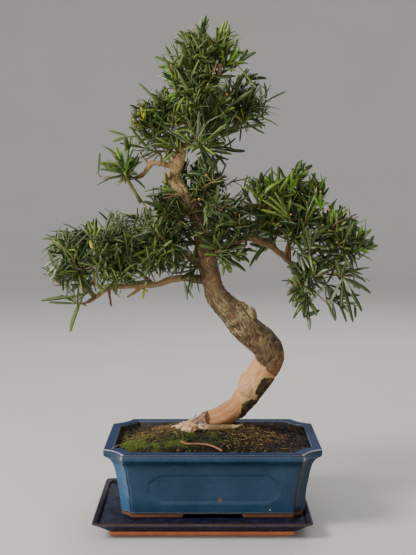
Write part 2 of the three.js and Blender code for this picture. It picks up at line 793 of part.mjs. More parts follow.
// A leaf of eight faces: an upright root edge, a keeled broad part and a pointed tip.
function leafGeometry({ root, way, length, face }) {
  const upper = face.clone().addScaledVector(way, -face.dot(way)).normalize();
  const across = new THREE.Vector3().crossVectors(way, upper);
  const broad = root.clone().addScaledVector(way, length * LEAF.widest);
  const points = [
    root.clone().addScaledVector(upper, LEAF.rootThick / 2),
    root.clone().addScaledVector(upper, -LEAF.rootThick / 2),
    broad.clone().addScaledVector(across, LEAF.width / 2),
    broad.clone().addScaledVector(across, -LEAF.width / 2),
    broad.clone().addScaledVector(upper, -LEAF.thick),
    root.clone().addScaledVector(way, length),
  ];
  const geometry = new THREE.BufferGeometry().setFromPoints(points);
  geometry.setIndex([0, 2, 3, 1, 2, 0, 1, 4, 2, 1, 0, 3, 1, 3, 4, 5, 3, 2, 5, 2, 4, 5, 4, 3]);
  return geometry;
}

function makeMass(mass) {
  const { twigs, leaves } = growMass(mass);
  const pieces = [...twigs.map(twigGeometry), ...leaves.map(leafGeometry)].map(solidOf);
  let solid = wasm.Manifold.union(pieces);
  if (mass.station !== undefined) solid = solid.subtract(trunkSolid(GAP));
  return meshOf(mass.name, solid, FINISH.leaf);
}

const bonsai = new THREE.Group();
bonsai.name = "podocarpus_bonsai";
const vessel = new THREE.Group().add(makeTray(), makePot(), makeSoil(), ...MOSS.map(makeMoss));
const limbs = new THREE.Group().add(makeTrunk(), ...BOUGHS.map(makeBough));
const foliage = new THREE.Group().add(...masses.map(makeMass));
bonsai.add(vessel, limbs, foliage);

export default bonsai;
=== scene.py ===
# Dresses a podocarpus bonsai: glazes, bark, twigs, leaves, moss and soil around its solids.
import math
from collections import namedtuple

import bpy
import numpy as np
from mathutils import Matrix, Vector, kdtree


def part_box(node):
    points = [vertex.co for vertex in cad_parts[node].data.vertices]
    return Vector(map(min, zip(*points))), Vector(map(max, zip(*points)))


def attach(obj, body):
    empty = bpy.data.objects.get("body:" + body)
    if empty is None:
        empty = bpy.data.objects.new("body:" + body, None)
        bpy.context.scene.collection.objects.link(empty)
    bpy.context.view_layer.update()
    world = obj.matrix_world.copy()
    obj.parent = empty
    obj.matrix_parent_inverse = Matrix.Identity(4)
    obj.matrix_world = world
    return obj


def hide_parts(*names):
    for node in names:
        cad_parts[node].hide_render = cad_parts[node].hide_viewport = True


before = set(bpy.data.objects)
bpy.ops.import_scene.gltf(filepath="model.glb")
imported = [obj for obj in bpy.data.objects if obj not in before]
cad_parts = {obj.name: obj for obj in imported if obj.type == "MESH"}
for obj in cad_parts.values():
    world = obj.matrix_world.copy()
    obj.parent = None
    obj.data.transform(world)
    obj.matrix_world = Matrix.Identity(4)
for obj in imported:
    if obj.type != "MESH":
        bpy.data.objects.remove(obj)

bl_info = {
    "name": "Podocarpus Bonsai",
    "version": (1, 0, 0),
    "blender": (4, 5, 0),
    "location": "View3D > Sidebar > Bonsai",
    "description": "Models a podocarpus bonsai in its glazed pot, piece by piece",
    "category": "Object",
}

MM = 0.001
GOLDEN_ANGLE = math.pi * (3 - math.sqrt(5))
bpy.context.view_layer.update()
POT_LOW, POT_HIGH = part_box("pot")
TRAY_LOW, TRAY_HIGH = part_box("tray")
SOIL_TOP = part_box("soil")[1].z / MM
POT_CENTRE = (POT_LOW + POT_HIGH) / 2
POT_SIZE = POT_HIGH - POT_LOW
TRAY_SIZE = TRAY_HIGH - TRAY_LOW


def paint(red, green, blue):
    """A colour read off a paint chart, 0 to 255, as the linear values that shaders take."""
    shares = [value / 255 for value in (red, green, blue)]
    return tuple(s / 12.92 if s < 0.04 else ((s + 0.055) / 1.055) ** 2.4 for s in shares)


# Pot wall, from its underside up over the rim and down inside: (drop below the rim's top, inset), mm.
POT_WALL = [
    (89.6, 26.5), (89.6, 24.4), (88.8, 23.7), (82, 22.9), (74, 22.2), (66, 21.4), (57, 20.6),
    (50, 19.4), (43.5, 18.2), (36, 16.8), (29, 15.4), (24, 13.9), (19.5, 12.3), (16.4, 10.4),
    (14, 7.6), (12.2, 4.4), (10.9, 2.0), (9.7, 0.7), (8.2, 0.1), (4.8, 0), (2.2, 0.1),
    (1.0, 0.6), (0.25, 1.6), (0, 3.2), (0.3, 7.5), (0, 11.4), (0.7, 12.9), (2.4, 13.9),
    (9, 15.5), (18, 19), (30, 24), (50, 27),
]
# The last ring of the outer face, and how far the rim's corners are cut off, mm.
POT_OUTER_RINGS = 24
POT_CUT = 27
# How wide the scooped corners are below the rim: (drop, cut), mm.
CUT_STEPS = [(0, 27), (10.5, 26), (17, 17.5), (40, 15.2), (95.4, 14.2)]
POT_FEET = {"height": 5.8, "inset": 24.6, "wall": 17, "front_arch": 78, "side_arch": 56, "slant": 4}
# Single marks in the pot's glaze: (place, radius, strength, colour), mm.
GLAZE_MARKS = [
    ((91.9, -68.4, 29.0), 1.2, 0.95, (220, 214, 204)), ((23.7, -68.8, 43.1), 3.6, 0.55, (140, 92, 56)),
    ((-59.2, -72.5, 70.0), 1.4, 0.85, (14, 18, 26)), ((-59.3, -71.1, 61.9), 1.0, 0.7, (14, 18, 26)),
]
# Lines round the pot where the glaze breaks, and two painted highlights along the rim: (drop below the rim's
# top, half width, waver, strength, colour).
GLAZE_BREAKS_AND_HIGHLIGHTS = [
    # The pale lines at 1.4 and 4.3 mm are painted highlights; the brown line and the pale line at 87.2 mm are
    # the glaze's own.
    (2.9, 0.75, 0.25, 0.9, (48, 32, 34)), (1.4, 0.3, 0.2, 0.4, (124, 140, 166)),
    (4.3, 0.3, 0.3, 0.4, (110, 134, 160)), (87.2, 0.5, 0.5, 0.42, (150, 156, 156)),
]
POT_PANEL = {"centre": (15.5, 59), "half": (91, 21), "cut": (17, 12), "edge": 2.6}

# Tray, from its underside up, out over the flange and down inside: (height, inset), mm.
TRAY_WALL = [
    (4.7, 24), (4.7, 22), (10.5, 14.5), (15.6, 7.6), (18.6, 3.2), (19.8, 1.0), (20.6, 0.1),
    (22.0, 0), (22.8, 0.5), (23.0, 1.5), (22.7, 2.8), (21.9, 4.6), (20.8, 6.5), (19.4, 7.2),
    (17.4, 7.9), (16.7, 8.8), (16.5, 11), (16.5, 40),
]
TRAY_CORNER = 6
TRAY_LIP_LINE = 20.1
TRAY_PAD = {"height": 4.7, "inset": 22}

# Ground in the pot, as the solids have it, mm.
SOIL = {"edge_drop": 7.4, "tilt": 3.2, "toward": (-0.8, 0.6), "centre": (8, 10), "top": (60, 38),
        "power": 1.25, "inset": 15.4, "cut": 20, "deep": 40}
CUSHIONS = [((-93, -28, 104.5), (23, 30, 6)), ((-40, -42, 109.5), (29, 29, 7.5)),
            ((20, -47, 111), (28, 24, 7))]

# Where dry fibres gather on the soil: (middle x, y), (spread along x, y), mm.
FIBRE_PATCHES = [((-62, 14), (46, 40)), ((62, -14), (46, 46))]

# Trunk stations from below the ground to the leader's tip: (x, y, z, radius), mm.
TRUNK = [
    (-16, 20, 118, 13), (8, 20, 130, 13.6), (30, 18, 139.5, 15), (50.5, 15, 155, 15.6),
    (64.5, 12, 173, 17), (75, 8, 191.5, 19), (87, 5, 212, 20.4), (94, 4, 229, 20.2),
    (86, 6, 247, 20.2), (66, 8, 265, 20.2), (42.5, 12, 290.5, 19.3), (19, 16, 317, 14.6),
    (11, 17, 345, 13.6), (5.5, 18, 363, 15), (0, 17, 393, 12.8), (-11, 15, 430, 11),
    (-27, 15, 457, 9.8), (-38.5, 15, 478, 8.8), (-36, 16, 500, 7.2), (-24, 18, 522, 5.4),
    (-8, 18, 543, 4.9), (3, 18, 572, 4.4), (10, 17, 598, 3.8), (18, 17, 622, 3),
]
# Forks, a stub and main roots that are one with the trunk, as above.
TRUNK_LIMBS = [
    [(-36, 16, 500, 6.6), (-33, 16, 511, 6.4), (-28, 17, 524, 6.2)],
    [(-40, 14, 474, 5), (-49, 13, 479, 4.4), (-54, 12, 476, 3.6)],
    [(-8, 14, 132, 8), (-20, 2, 129, 6.4), (-33, -4, 126.5, 4.6)],
    [(-4, 12, 131, 7), (-12, -6, 129, 5.2), (-20, -16, 127, 3.6)],
    [(-14, 6, 129, 5), (4, -7, 128.6, 4.8), (26, -8, 129, 4.4), (45, -7, 130, 4.0)],
]
SURFACE_ROOTS = [
    [(-12, 8, 131, 6), (-27, 4, 129.5, 4.4), (-37, 2, 126, 3)],
    [(-10, 4, 130, 5.4), (-22, -8, 128.5, 4.6), (-30, -13, 125.5, 3.2)],
    [(-6, 6, 129, 5), (-14, -12, 127.5, 4.4), (-12, -20, 124.5, 3.2)],
    [(-24, -6, 128, 4.6), (-18, -14, 127, 5), (-26, -17, 123.5, 3)],
    [(-20, 18, 128, 5.2), (-34, 14, 125.5, 4), (-46, 16, 121.5, 2.4)],
    [(10, 14, 130, 5), (24, 26, 126, 4), (40, 32, 122, 2.6)],
    [(-2, 24, 128, 5), (-14, 36, 124.5, 3.6), (-24, 44, 119.5, 2.4)],
    [(40, -8, 129.5, 3.2), (48, -9, 131, 2.4), (57, -8, 134, 1.5)],
]
# Knots and swellings of the trunk: (centre, reach), mm.
KNOTS = [
    ((53, 9, 293), (14, 14, 14.5)), ((-44, 14, 466), (8, 7, 8)), ((9, 11, 366), (12, 11, 14)),
    ((62, 5, 288), (12, 10, 13)), ((74, 4, 268), (13, 12, 10)), ((64, 3, 283), (13, 10, 13)),
    ((64, 3, 188), (14, 15, 20)), ((88, -4, 228), (15, 13, 14)), ((48, 0, 281), (11, 9, 12)),
    ((-50, 10, 470), (5, 5, 6)), ((-48, 8, 484), (5, 5, 5)), ((-52, 13, 462), (4, 4, 5)),
    ((-35, 9, 452), (6, 5, 8)), ((24, 8, 312), (8, 8, 12)), ((-22, -10, 129), (6, 5, 4)),
    ((-31, -6, 128), (5, 5, 4)), ((-12, -14, 129), (5, 5, 4)),
]
FLAKE_LEVELS = 6
FLARE = {"lobes": 4, "share": 0.22, "up_to": 3.2}
# The trunk is peeled up to this station, but for patches of bark on one side: (centre, reach), mm.
PEELED_UP_TO = 6.15
BARK_SIDE = (0.8, -0.05, -0.6)
BARK_PATCHES = [((89, -3, 187), (15, 17, 16)), ((73, -2, 154), (18, 17, 15)), ((84, 6, 171), (9, 14, 14)),
                ((60, 2, 141), (11, 13, 7))]
# Healed pruning scars: (centre, reach), mm.
SCARS = [((40, -8, 287), (7, 9, 5)), ((75, -12, 257), (6, 9, 8)), ((108, -3, 231), (7, 12, 7)),
         ((-27, 8, 523), (8, 9, 7)), ((52, -2, 304), (4, 8, 4))]
# Stations over which the smoother bark and the elbow's folded bark begin, and over which they end.
SMOOTH_BARK = ((10.7, 11.8), (13.0, 13.6))
ELBOW_BARK = ((5.2, 5.9), (6.7, 7.4))
# Places where the bark stands up in loose flakes: (centre, reach, strength), mm.
FLAKY = [
    ((44, -6, 271), (22, 18, 15), 1.0), ((60, -2, 292), (17, 16, 14), 0.75), ((24, 4, 306), (9, 12, 14), 0.6),
    ((-40, 8, 476), (15, 14, 24), 0.9), ((-26, -2, 462), (20, 20, 18), 0.75),
    ((-34, 2, 506), (16, 20, 14), 0.4),
]
# Tinted places on the bark of the trunk and of the boughs, and places painted lighter as if lit: (place,
# radius, strength, colour), mm.
BARK_TINTS_AND_LIGHT = [
    ((64, -4, 292), 15, 0.42, (176, 160, 100)), ((104, -8, 214), 14, 0.6, (184, 126, 82)),
    ((98, -12, 198), 9, 0.5, (176, 118, 76)), ((108, -4, 231), 6, 0.7, (196, 112, 72)),
    ((40, -12, 287), 6, 0.6, (132, 74, 50)), ((4, 4, 384), 24, 0.4, (92, 58, 38)),
    ((96, -14, 236), 13, 0.35, (156, 122, 76)), ((14, 2, 322), 20, 0.35, (150, 122, 80)),
    # Painted light: the pale marks high on the trunk, at z 482 and 513, make the upper trunk look lit.
    ((-8, 2, 420), 24, 0.5, (82, 54, 38)), ((-40, 4, 482), 25, 0.8, (208, 172, 116)),
    ((-30, 6, 513), 16, 0.85, (222, 182, 134)), ((70, -8, 268), 16, 0.4, (86, 62, 38)),
    ((28, 2, 300), 11, 0.4, (166, 140, 92)), ((82, -12, 252), 8, 0.4, (170, 138, 88)),
    ((84, -12, 234), 18, 0.55, (76, 56, 36)), ((62, -10, 256), 12, 0.3, (84, 62, 40)),
    ((34, -2, 284), 12, 0.35, (84, 62, 40)),
]
BOUGH_TINTS_AND_LIGHT = [
    ((-62, 14, 500), 26, 0.75, (212, 174, 120)), ((-90, 14, 484), 16, 0.5, (150, 128, 84)),
    # Painted light: the pale marks on the right bough, at x 60 and 104, make it look lit.
    ((-70, 8, 330), 60, 0.75, (164, 136, 88)), ((60, 10, 396), 34, 0.75, (180, 136, 92)),
    ((104, 12, 380), 28, 0.65, (160, 116, 76)), ((-150, 2, 340), 26, 0.4, (160, 134, 84)),
    ((20, 0, 622), 20, 0.6, (186, 142, 98)),
]

# Boughs: the limb that each grows from, and its stations (x, y, z, radius), mm.
BOUGHS = {
    "left_bough": ("trunk", [
        (8, 17, 336, 6.4), (-17, 16, 339, 5.6), (-42, 13, 338, 4.7), (-65, 10, 331, 4.2),
        (-88, 8, 329, 3.9), (-130, 6, 327, 3.4), (-149, 6, 314, 3)]),
    "left_front_riser": ("left_bough", [(-98, 8, 329, 2.9), (-107, 1, 338, 2.6), (-113, -4, 346, 2.3)]),
    "left_back_riser": ("left_bough", [(-70, 10, 330, 3.2), (-82, 26, 339, 2.8), (-92, 38, 346, 2.4)]),
    "left_dead_spur": ("left_bough", [(-132, 5, 326, 2.2), (-131, 3, 314, 1.9), (-129, 2, 300, 1.3)]),
    "inner_left_bough": ("trunk", [(4, 17, 355, 4.6), (-12, 14, 362, 3.9), (-32, 10, 376, 3)]),
    "right_bough": ("trunk", [
        (2, 17, 377, 7.2), (16, 15, 380, 6.2), (39, 12, 384, 5.0), (61, 11, 397, 4.5),
        (79, 12, 392, 4.1), (95, 13, 385, 3.9), (112, 14, 373, 3.8), (126, 15, 360, 3.4),
        (146, 17, 356, 3.1)]),
    "right_inner_riser": ("right_bough", [(62, 11, 397, 3.3), (69, 8, 408, 2.9), (76, 6, 416, 2.5)]),
    "right_mid_riser": ("right_bough", [(122, 15, 364, 3), (123, 18, 384, 2.6), (130, 20, 404, 2.3)]),
    "right_far_riser": ("right_bough", [(133, 16, 358, 2.8), (150, 12, 371, 2.5), (166, 11, 382, 2.2)]),
    "right_low_spur": ("right_bough", [(124, 15, 361, 3), (132, 11, 350, 2.6), (140, 8, 340, 2.3)]),
    "right_back_riser": ("right_bough", [(86, 12, 389, 3.2), (95, 30, 391, 2.8), (102, 42, 394, 2.4)]),
    "upper_left_bough": ("trunk", [
        (-36, 16, 496, 5), (-56, 15, 500, 3.8), (-70, 14, 501, 3.4), (-77, 14, 494, 3.1),
        (-84, 14, 485, 2.8), (-95, 15, 481, 2.5)]),
    "crown_left_bough": ("trunk", [(-23, 18, 523, 3.4), (-38, 15, 534, 2.8), (-49, 14, 542, 2.4)]),
    "crown_right_bough": ("trunk", [(-9, 18, 541, 3.4), (20, 19, 542, 2.9), (38, 20, 549, 2.4)]),
}

# Short dead or clipped twigs on the boughs, mm.
STUBS = [
    [(-86, 8, 328, 2.2), (-96, 6, 320, 1.9), (-107, 4, 313, 1.8)],
    [(-149, 6, 314, 2.6), (-160, 4, 321, 2.0), (-170, 3, 331, 1.5), (-178, 3, 341, 1.2)],
    [(-140, 6, 322, 2.4), (-150, 2, 334, 1.9), (-154, -2, 352, 1.6), (-156, -6, 366, 1.2)],
    [(-149, 6, 314, 2.2), (-163, 8, 306, 1.7), (-174, 10, 303, 1.3)],
    [(-53, 15, 500, 1.7), (-60, 12, 512, 1.2), (-70, 10, 526, 0.9)],
    [(-44, 16, 500, 1.9), (-51, 12, 514, 1.3), (-62, 9, 536, 0.9)],
    [(-39, 14, 504, 1.8), (-46, 10, 520, 1.2), (-52, 6, 542, 0.9)],
    [(-75, 14, 498, 1.6), (-82, 12, 508, 1.1), (-88, 10, 518, 0.8)],
    [(2, 12, 362, 4.2), (-12, 5, 370, 3.4), (-28, 0, 378, 2.4)],
    [(66, 10, 397, 2.2), (72, 5, 412, 1.7), (76, 2, 428, 1.3)],
    [(116, 14, 370, 2.4), (119, 9, 384, 1.9), (120, 5, 402, 1.5)],
    [(-8, 16, 541, 3.0), (2, 10, 548, 2.6), (10, 6, 556, 2.2)],
    [(5, 17, 570, 2.6), (14, 8, 580, 2.0), (24, 4, 590, 1.5)],
    [(12, 15, 603, 3.0), (20, 0, 616, 3.2), (23, -8, 626, 3.4), (24, -10, 636, 3.8)],
    [(8, 17, 596, 2.4), (-2, 6, 618, 1.8), (-19, -6, 648, 1.2)],
]

# Foliage masses: (name, bough or trunk station that it grows from, centre, reach), mm.
MASSES = [
    ("foliage_apex", "trunk", (5, 17, 646), (54, 52, 60)),
    ("foliage_leader", 22.1, (-6, -8, 608), (50, 46, 46)),
    ("foliage_crown_left", "crown_left_bough", (-66, 14, 560), (50, 50, 54)),
    ("foliage_crown_right", "crown_right_bough", (56, 22, 580), (48, 50, 52)),
    ("foliage_crown_front", 20.2, (0, -26, 556), (52, 46, 50)),
    ("foliage_crown_back", 20.9, (2, 60, 570), (54, 48, 56)),
    ("foliage_left_tuft", "upper_left_bough", (-112, 17, 494), (42, 44, 50)),
    ("foliage_centre_front", 15.6, (24, -22, 462), (50, 46, 50)),
    ("foliage_centre_back", 15.3, (-4, 62, 452), (56, 48, 58)),
    ("foliage_centre_left", 14.7, (-36, -26, 440), (44, 44, 46)),
    ("foliage_centre_low", 13.9, (30, -30, 394), (48, 46, 48)),
    ("foliage_inner_left", "inner_left_bough", (-60, 4, 388), (46, 50, 56)),
    ("foliage_mid_left", "left_front_riser", (-122, -12, 374), (50, 50, 62)),
    ("foliage_back_left", "left_back_riser", (-104, 62, 378), (56, 50, 62)),
    ("foliage_far_left", "left_bough", (-184, 12, 356), (50, 54, 66)),
    ("foliage_right_inner", "right_inner_riser", (86, 0, 440), (46, 50, 56)),
    ("foliage_right_mid", "right_mid_riser", (142, 18, 446), (48, 52, 56)),
    ("foliage_right_far", "right_far_riser", (196, 8, 396), (46, 52, 56)),
    ("foliage_right_lower", "right_bough", (190, 24, 334), (50, 52, 60)),
    ("foliage_right_low", "right_low_spur", (146, -6, 324), (42, 46, 58)),
    ("foliage_right_back", "right_back_riser", (112, 70, 402), (56, 48, 60)),
]
# How the twigs of a mass grow, as in the solids: counts, shares of its reach, and mm.
GROWTH = {
    "tufts": 6, "tuft_inner": 0.2, "tuft_outer": 0.78, "tuft_spacing": 12, "tuft_tries": 90,
    "tuft_clear": 3, "shortest_twig": 6, "path_weight": 0.35, "stem_start": 5, "hub_share": 0.45,
    "twig_radius": 2.1, "limb_clear": 1.2, "cell_clear": 0.6,
}
# No shoot of a foliage mass ends lower than this, mm.
LOWEST_SHOOT = 278


class VesselSettings(bpy.types.PropertyGroup):
    """Sizes and colours of the pot, its feet and the tray."""

    panel_depth: bpy.props.FloatProperty(
        name="Panel depth", description="How far the pot's front panel is let in",
        default=0.001, unit="LENGTH")
    glaze: bpy.props.FloatVectorProperty(
        name="Pot glaze", description="Colour of the pot's glaze where it is thick",
        subtype="COLOR", default=paint(31, 58, 81))
    thin_glaze: bpy.props.FloatVectorProperty(
        name="Thin pot glaze", description="Colour of the pot's glaze where it is thin",
        subtype="COLOR", default=paint(50, 84, 112))
    tray_glaze: bpy.props.FloatVectorProperty(
        name="Tray glaze", description="Colour of the tray's glaze between its flecks",
        subtype="COLOR", default=paint(15, 16, 28))
    clay: bpy.props.FloatVectorProperty(
        name="Clay", description="Colour of the bare clay at the feet",
        subtype="COLOR", default=paint(120, 74, 50))


class LimbSettings(bpy.types.PropertyGroup):
    """Relief and colours of the trunk and boughs."""

    grain: bpy.props.FloatProperty(
        name="Surface step", description="Size of the faces of the trunk's skin",
        default=0.00098, unit="LENGTH")
    bark_depth: bpy.props.FloatProperty(
        name="Bark depth", description="How far the plates of bark stand up from their cracks",
        default=0.0019, unit="LENGTH")
    wood: bpy.props.FloatVectorProperty(
        name="Peeled wood", description="Colour of the smooth wood at the trunk's foot",
        subtype="COLOR", default=paint(216, 156, 100))
    bark: bpy.props.FloatVectorProperty(
        name="Bark", description="Middle colour of the flaking bark",
        subtype="COLOR", default=paint(101, 80, 50))


class FoliageSettings(bpy.types.PropertyGroup):
    """Number and size of the shoots and leaves."""

    shoots: bpy.props.IntProperty(
        name="Shoots", description="Shoots round the end of each twig", default=9)
    leaves: bpy.props.IntProperty(
        name="Leaves", description="Most leaves on a shoot", default=12)
    leaf_length: bpy.props.FloatProperty(
        name="Leaf length", description="Length of a grown leaf", default=0.042, unit="LENGTH")
    leaf_width: bpy.props.FloatProperty(
        name="Leaf width", description="Width of a grown leaf", default=0.0058, unit="LENGTH")


class GroundSettings(bpy.types.PropertyGroup):
    """Number of the small things that cover the soil."""

    granules: bpy.props.IntProperty(
        name="Granules", description="Granules of soil", default=4200)
    fibres: bpy.props.IntProperty(
        name="Fibres", description="Dry roots and strands on the soil", default=1300)
    moss_blades: bpy.props.IntProperty(
        name="Moss blades", description="Blades of the moss", default=15000)


class StageSettings(bpy.types.PropertyGroup):
    """The floor and the lights."""

    floor: bpy.props.FloatVectorProperty(
        name="Floor", description="Colour of the floor", subtype="COLOR",
        default=paint(206, 205, 202))
    key_power: bpy.props.FloatProperty(
        name="Key light", description="Power of the light at the upper left", default=64)


class Nodes:
    """Adds the nodes of one material or group, each set and joined as it is made."""

    def __init__(self, tree):
        self.tree = tree

    def feed(self, socket, value):
        """Joins a socket to another node's output, or sets it."""
        if isinstance(value, bpy.types.NodeSocket):
            self.tree.links.new(value, socket)
        elif socket.type == "RGBA" and len(value) == 3:
            socket.default_value = (*value, 1)
        else:
            socket.default_value = value

    def add(self, kind, settings=None, inputs=None):
        """A node of a kind, with its settings and what goes into it."""
        node = self.tree.nodes.new(kind)
        for key, value in (settings or {}).items():
            setattr(node, key, value)
        for key, value in (inputs or {}).items():
            self.feed(node.inputs[key], value)
        return node

    def place(self):
        """The place on the object, in metres."""
        return self.add("ShaderNodeTexCoord").outputs["Object"]

    def noise(self, scale, detail=3.0, rough=0.55):
        inputs = {"Vector": self.place(), "Scale": scale, "Detail": detail, "Roughness": rough}
        return self.add("ShaderNodeTexNoise", None, inputs).outputs[0]

    def ramp(self, value, low, high, bottom=0.0, top=1.0):
        """A value spread smoothly between two limits."""
        inputs = {"Value": value, "From Min": low, "From Max": high, "To Min": bottom, "To Max": top}
        return self.add("ShaderNodeMapRange", {"interpolation_type": "SMOOTHSTEP"}, inputs).outputs[0]

    def math(self, operation, *values):
        return self.add("ShaderNodeMath", {"operation": operation}, dict(enumerate(values))).outputs[0]

    def times(self, a, b):
        return self.math("MULTIPLY", a, b)

    def mix(self, share, a, b):
        """A colour between two others."""
        return self.add("ShaderNodeMix", {"data_type": "RGBA"}, {0: share, 6: a, 7: b}).outputs[2]

    def coats(self, colour, *layers):
        """A colour with others over it: each is (where, colour) or (where, colour, strength)."""
        for where, tint, *strength in layers:
            if strength:
                where = self.times(where, strength[0])
            if not isinstance(tint, bpy.types.NodeSocket):
                tint = paint(*tint)
            colour = self.mix(where, colour, tint)
        return colour

    def mask(self, name):
        """A value painted on the mesh."""
        return self.add("ShaderNodeAttribute", {"attribute_name": name}).outputs["Fac"]

    def spot(self, place, radius, share):
        """A blurred round mark about a place, in millimetres."""
        inputs = {0: self.place(), 1: tuple(value * MM for value in place)}
        apart = self.add("ShaderNodeVectorMath", {"operation": "DISTANCE"}, inputs).outputs["Value"]
        return self.ramp(apart, 0.5 * radius * MM, 1.3 * radius * MM, share, 0.0)

    def level_line(self, height, half, sway):
        """A line that wavers a little about a height on the object, in millimetres."""
        high = self.add("ShaderNodeSeparateXYZ", None, {0: self.place()}).outputs[2]
        drift = self.ramp(self.noise(45.0), 0.3, 0.7, (height - sway) * MM, (height + sway) * MM)
        apart = self.math("ABSOLUTE", self.math("SUBTRACT", high, drift))
        return self.ramp(apart, 0.6 * half * MM, 1.3 * half * MM, 1.0, 0.0)

    def group(self, tree, inputs):
        """A shared effect, with this material's own values."""
        return self.add("ShaderNodeGroup", {"node_tree": tree}, inputs).outputs[0]

    def clouds(self, scale, low=0.35, high=0.65):
        return self.group(mottling(), {"Scale": scale, "Low": low, "High": high})

    def specks(self, scale, size, share):
        return self.group(flecks(), {"Scale": scale, "Size": size, "Share": share})

    def worn(self, edge, scale):
        return self.group(worn_edge(), {"Edge": edge, "Scale": scale})

    def bump(self, height, distance, strength):
        inputs = {"Height": height, "Distance": distance, "Strength": strength}
        return self.add("ShaderNodeBump", None, inputs).outputs[0]

    def cover(self, colour, roughness, **others):
        """Gives the material's shader its colour, roughness, and its Normal and specular level if any."""
        sockets = self.tree.nodes["Principled BSDF"].inputs
        self.feed(sockets["Base Color"], colour)
        self.feed(sockets["Roughness"], roughness)
        for key, value in others.items():
            self.feed(sockets[{"normal": "Normal", "specular": "Specular IOR Level"}[key]], value)


def shared_effect(name, inputs, build):
    """A node group with one output, made once."""
    tree = bpy.data.node_groups.get(name)
    if tree:
        return tree
    tree = bpy.data.node_groups.new(name, "ShaderNodeTree")
    for key, value in inputs.items():
        socket = tree.interface.new_socket(name=key, in_out="INPUT", socket_type="NodeSocketFloat")
        socket.default_value = value
    tree.interface.new_socket(name="Amount", in_out="OUTPUT", socket_type="NodeSocketFloat")
    nodes = Nodes(tree)
    source = nodes.add("NodeGroupInput")
    nodes.add("NodeGroupOutput", None, {"Amount": build(nodes, source.outputs)})
    return tree


def mottling():
    """Clouds of thick and thin, from 0 to 1."""
    def build(nodes, given):
        return nodes.ramp(nodes.noise(given["Scale"], 4.0, 0.6), given["Low"], given["High"])
    return shared_effect("Mottling", {"Scale": 40.0, "Low": 0.35, "High": 0.65}, build)


def flecks():
    """Round flecks of chance size, over a share of the cells."""
    def build(nodes, given):
        inputs = {"Vector": nodes.place(), "Scale": given["Scale"]}
        cells = nodes.add("ShaderNodeTexVoronoi", None, inputs)
        chance = nodes.add("ShaderNodeSeparateColor", None, {0: cells.outputs["Color"]}).outputs[0]
        chosen = nodes.math("LESS_THAN", chance, given["Share"])
        near = nodes.math("SUBTRACT", given["Size"], cells.outputs["Distance"])
        return nodes.times(nodes.ramp(near, 0.0, 0.12), chosen)
    return shared_effect("Flecks", {"Scale": 300.0, "Size": 0.3, "Share": 0.3}, build)


def worn_edge():
    """A painted edge, broken up as a glaze breaks over it."""
    def build(nodes, given):
        cloud = nodes.ramp(nodes.noise(given["Scale"], 3.0, 0.7), 0.3, 0.62)
        return nodes.times(nodes.math("MULTIPLY_ADD", cloud, 0.55, 0.45), given["Edge"])
    return shared_effect("Worn edge", {"Edge": 0.0, "Scale": 160.0}, build)


def new_material(name):
    """An empty material, and the helper that adds to it."""
    material = bpy.data.materials.new(name)
    material.use_nodes = True
    return material, Nodes(material.node_tree)


def pot_glaze(vessel):
    """Blue gloss glaze, thin and dark over the edges, pale where it breaks on the scooped corners and the
    rim, with painted highlights along those edges; painted light and shade: the left scooped corners pale and
    the right ones dark, the rim's top darker, shade in the neck and round the panel.
    """
    material, nodes = new_material("Pot glaze")
    mouth = nodes.mask("mouth")
    pits = nodes.specks(95.0, 0.085, 0.06)
    top = POT_HIGH.z / MM
    drift = nodes.times(nodes.clouds(17.0, 0.3, 0.75), 0.55)
    colour = nodes.mix(drift, vessel.glaze[:], vessel.thin_glaze[:])
    colour = nodes.coats(
        colour,
        (nodes.clouds(420.0, 0.42, 0.7), (78, 106, 130), 0.14),
        # Painted shade: the rim's top face is painted darker and duller than the rest of the glaze.
        (mouth, (20, 40, 82), nodes.ramp(nodes.noise(330.0), 0.35, 0.6, 0.5, 0.95)),
        # Painted light and shade: the scooped corners on the left are painted pale as if lit, those on the
        # right dark as if shaded.
        (nodes.mask("thin"), (84, 132, 182), 0.42),
        (nodes.mask("thick"), (20, 30, 44), 0.55),
        (pits, (18, 22, 30), 0.6),
        *[(nodes.spot(place, radius, share), tint) for place, radius, share, tint in GLAZE_MARKS],
        # Painted shade in the concave neck under the rim band and along the panel's let-in edge.
        (nodes.mask("hollow"), (14, 28, 42), 0.62),
        (nodes.worn(nodes.mask("brown_edge"), 190.0), (46, 32, 38)),
        # Pale where the glaze breaks on the corners and the rim's edges, with a painted highlight along them.
        (nodes.worn(nodes.mask("pale_edge"), 240.0), (172, 160, 170)),
        # Glaze break lines, and painted highlight lines along the rim.
        *[(nodes.worn(nodes.times(nodes.level_line(top - drop, half, sway), share), 120.0), tint)
          for drop, half, sway, share, tint in GLAZE_BREAKS_AND_HIGHLIGHTS],
        (nodes.mask("bare"), (118, 88, 66)),
        (nodes.mask("earthy"), (52, 40, 29), nodes.ramp(nodes.noise(260.0), 0.35, 0.6, 0.6, 1.0)))
    rough = nodes.ramp(nodes.noise(55.0), 0.3, 0.7, 0.24, 0.36)
    swell = nodes.math("ADD", nodes.noise(70.0, 2.0), nodes.times(pits, -1.6))
    nodes.cover(colour, nodes.math("MAXIMUM", rough, nodes.times(mouth, 0.6)),
                normal=nodes.bump(swell, 0.0006, 0.5), specular=nodes.ramp(mouth, 0.0, 1.0, 0.3, 0.12))
    return material


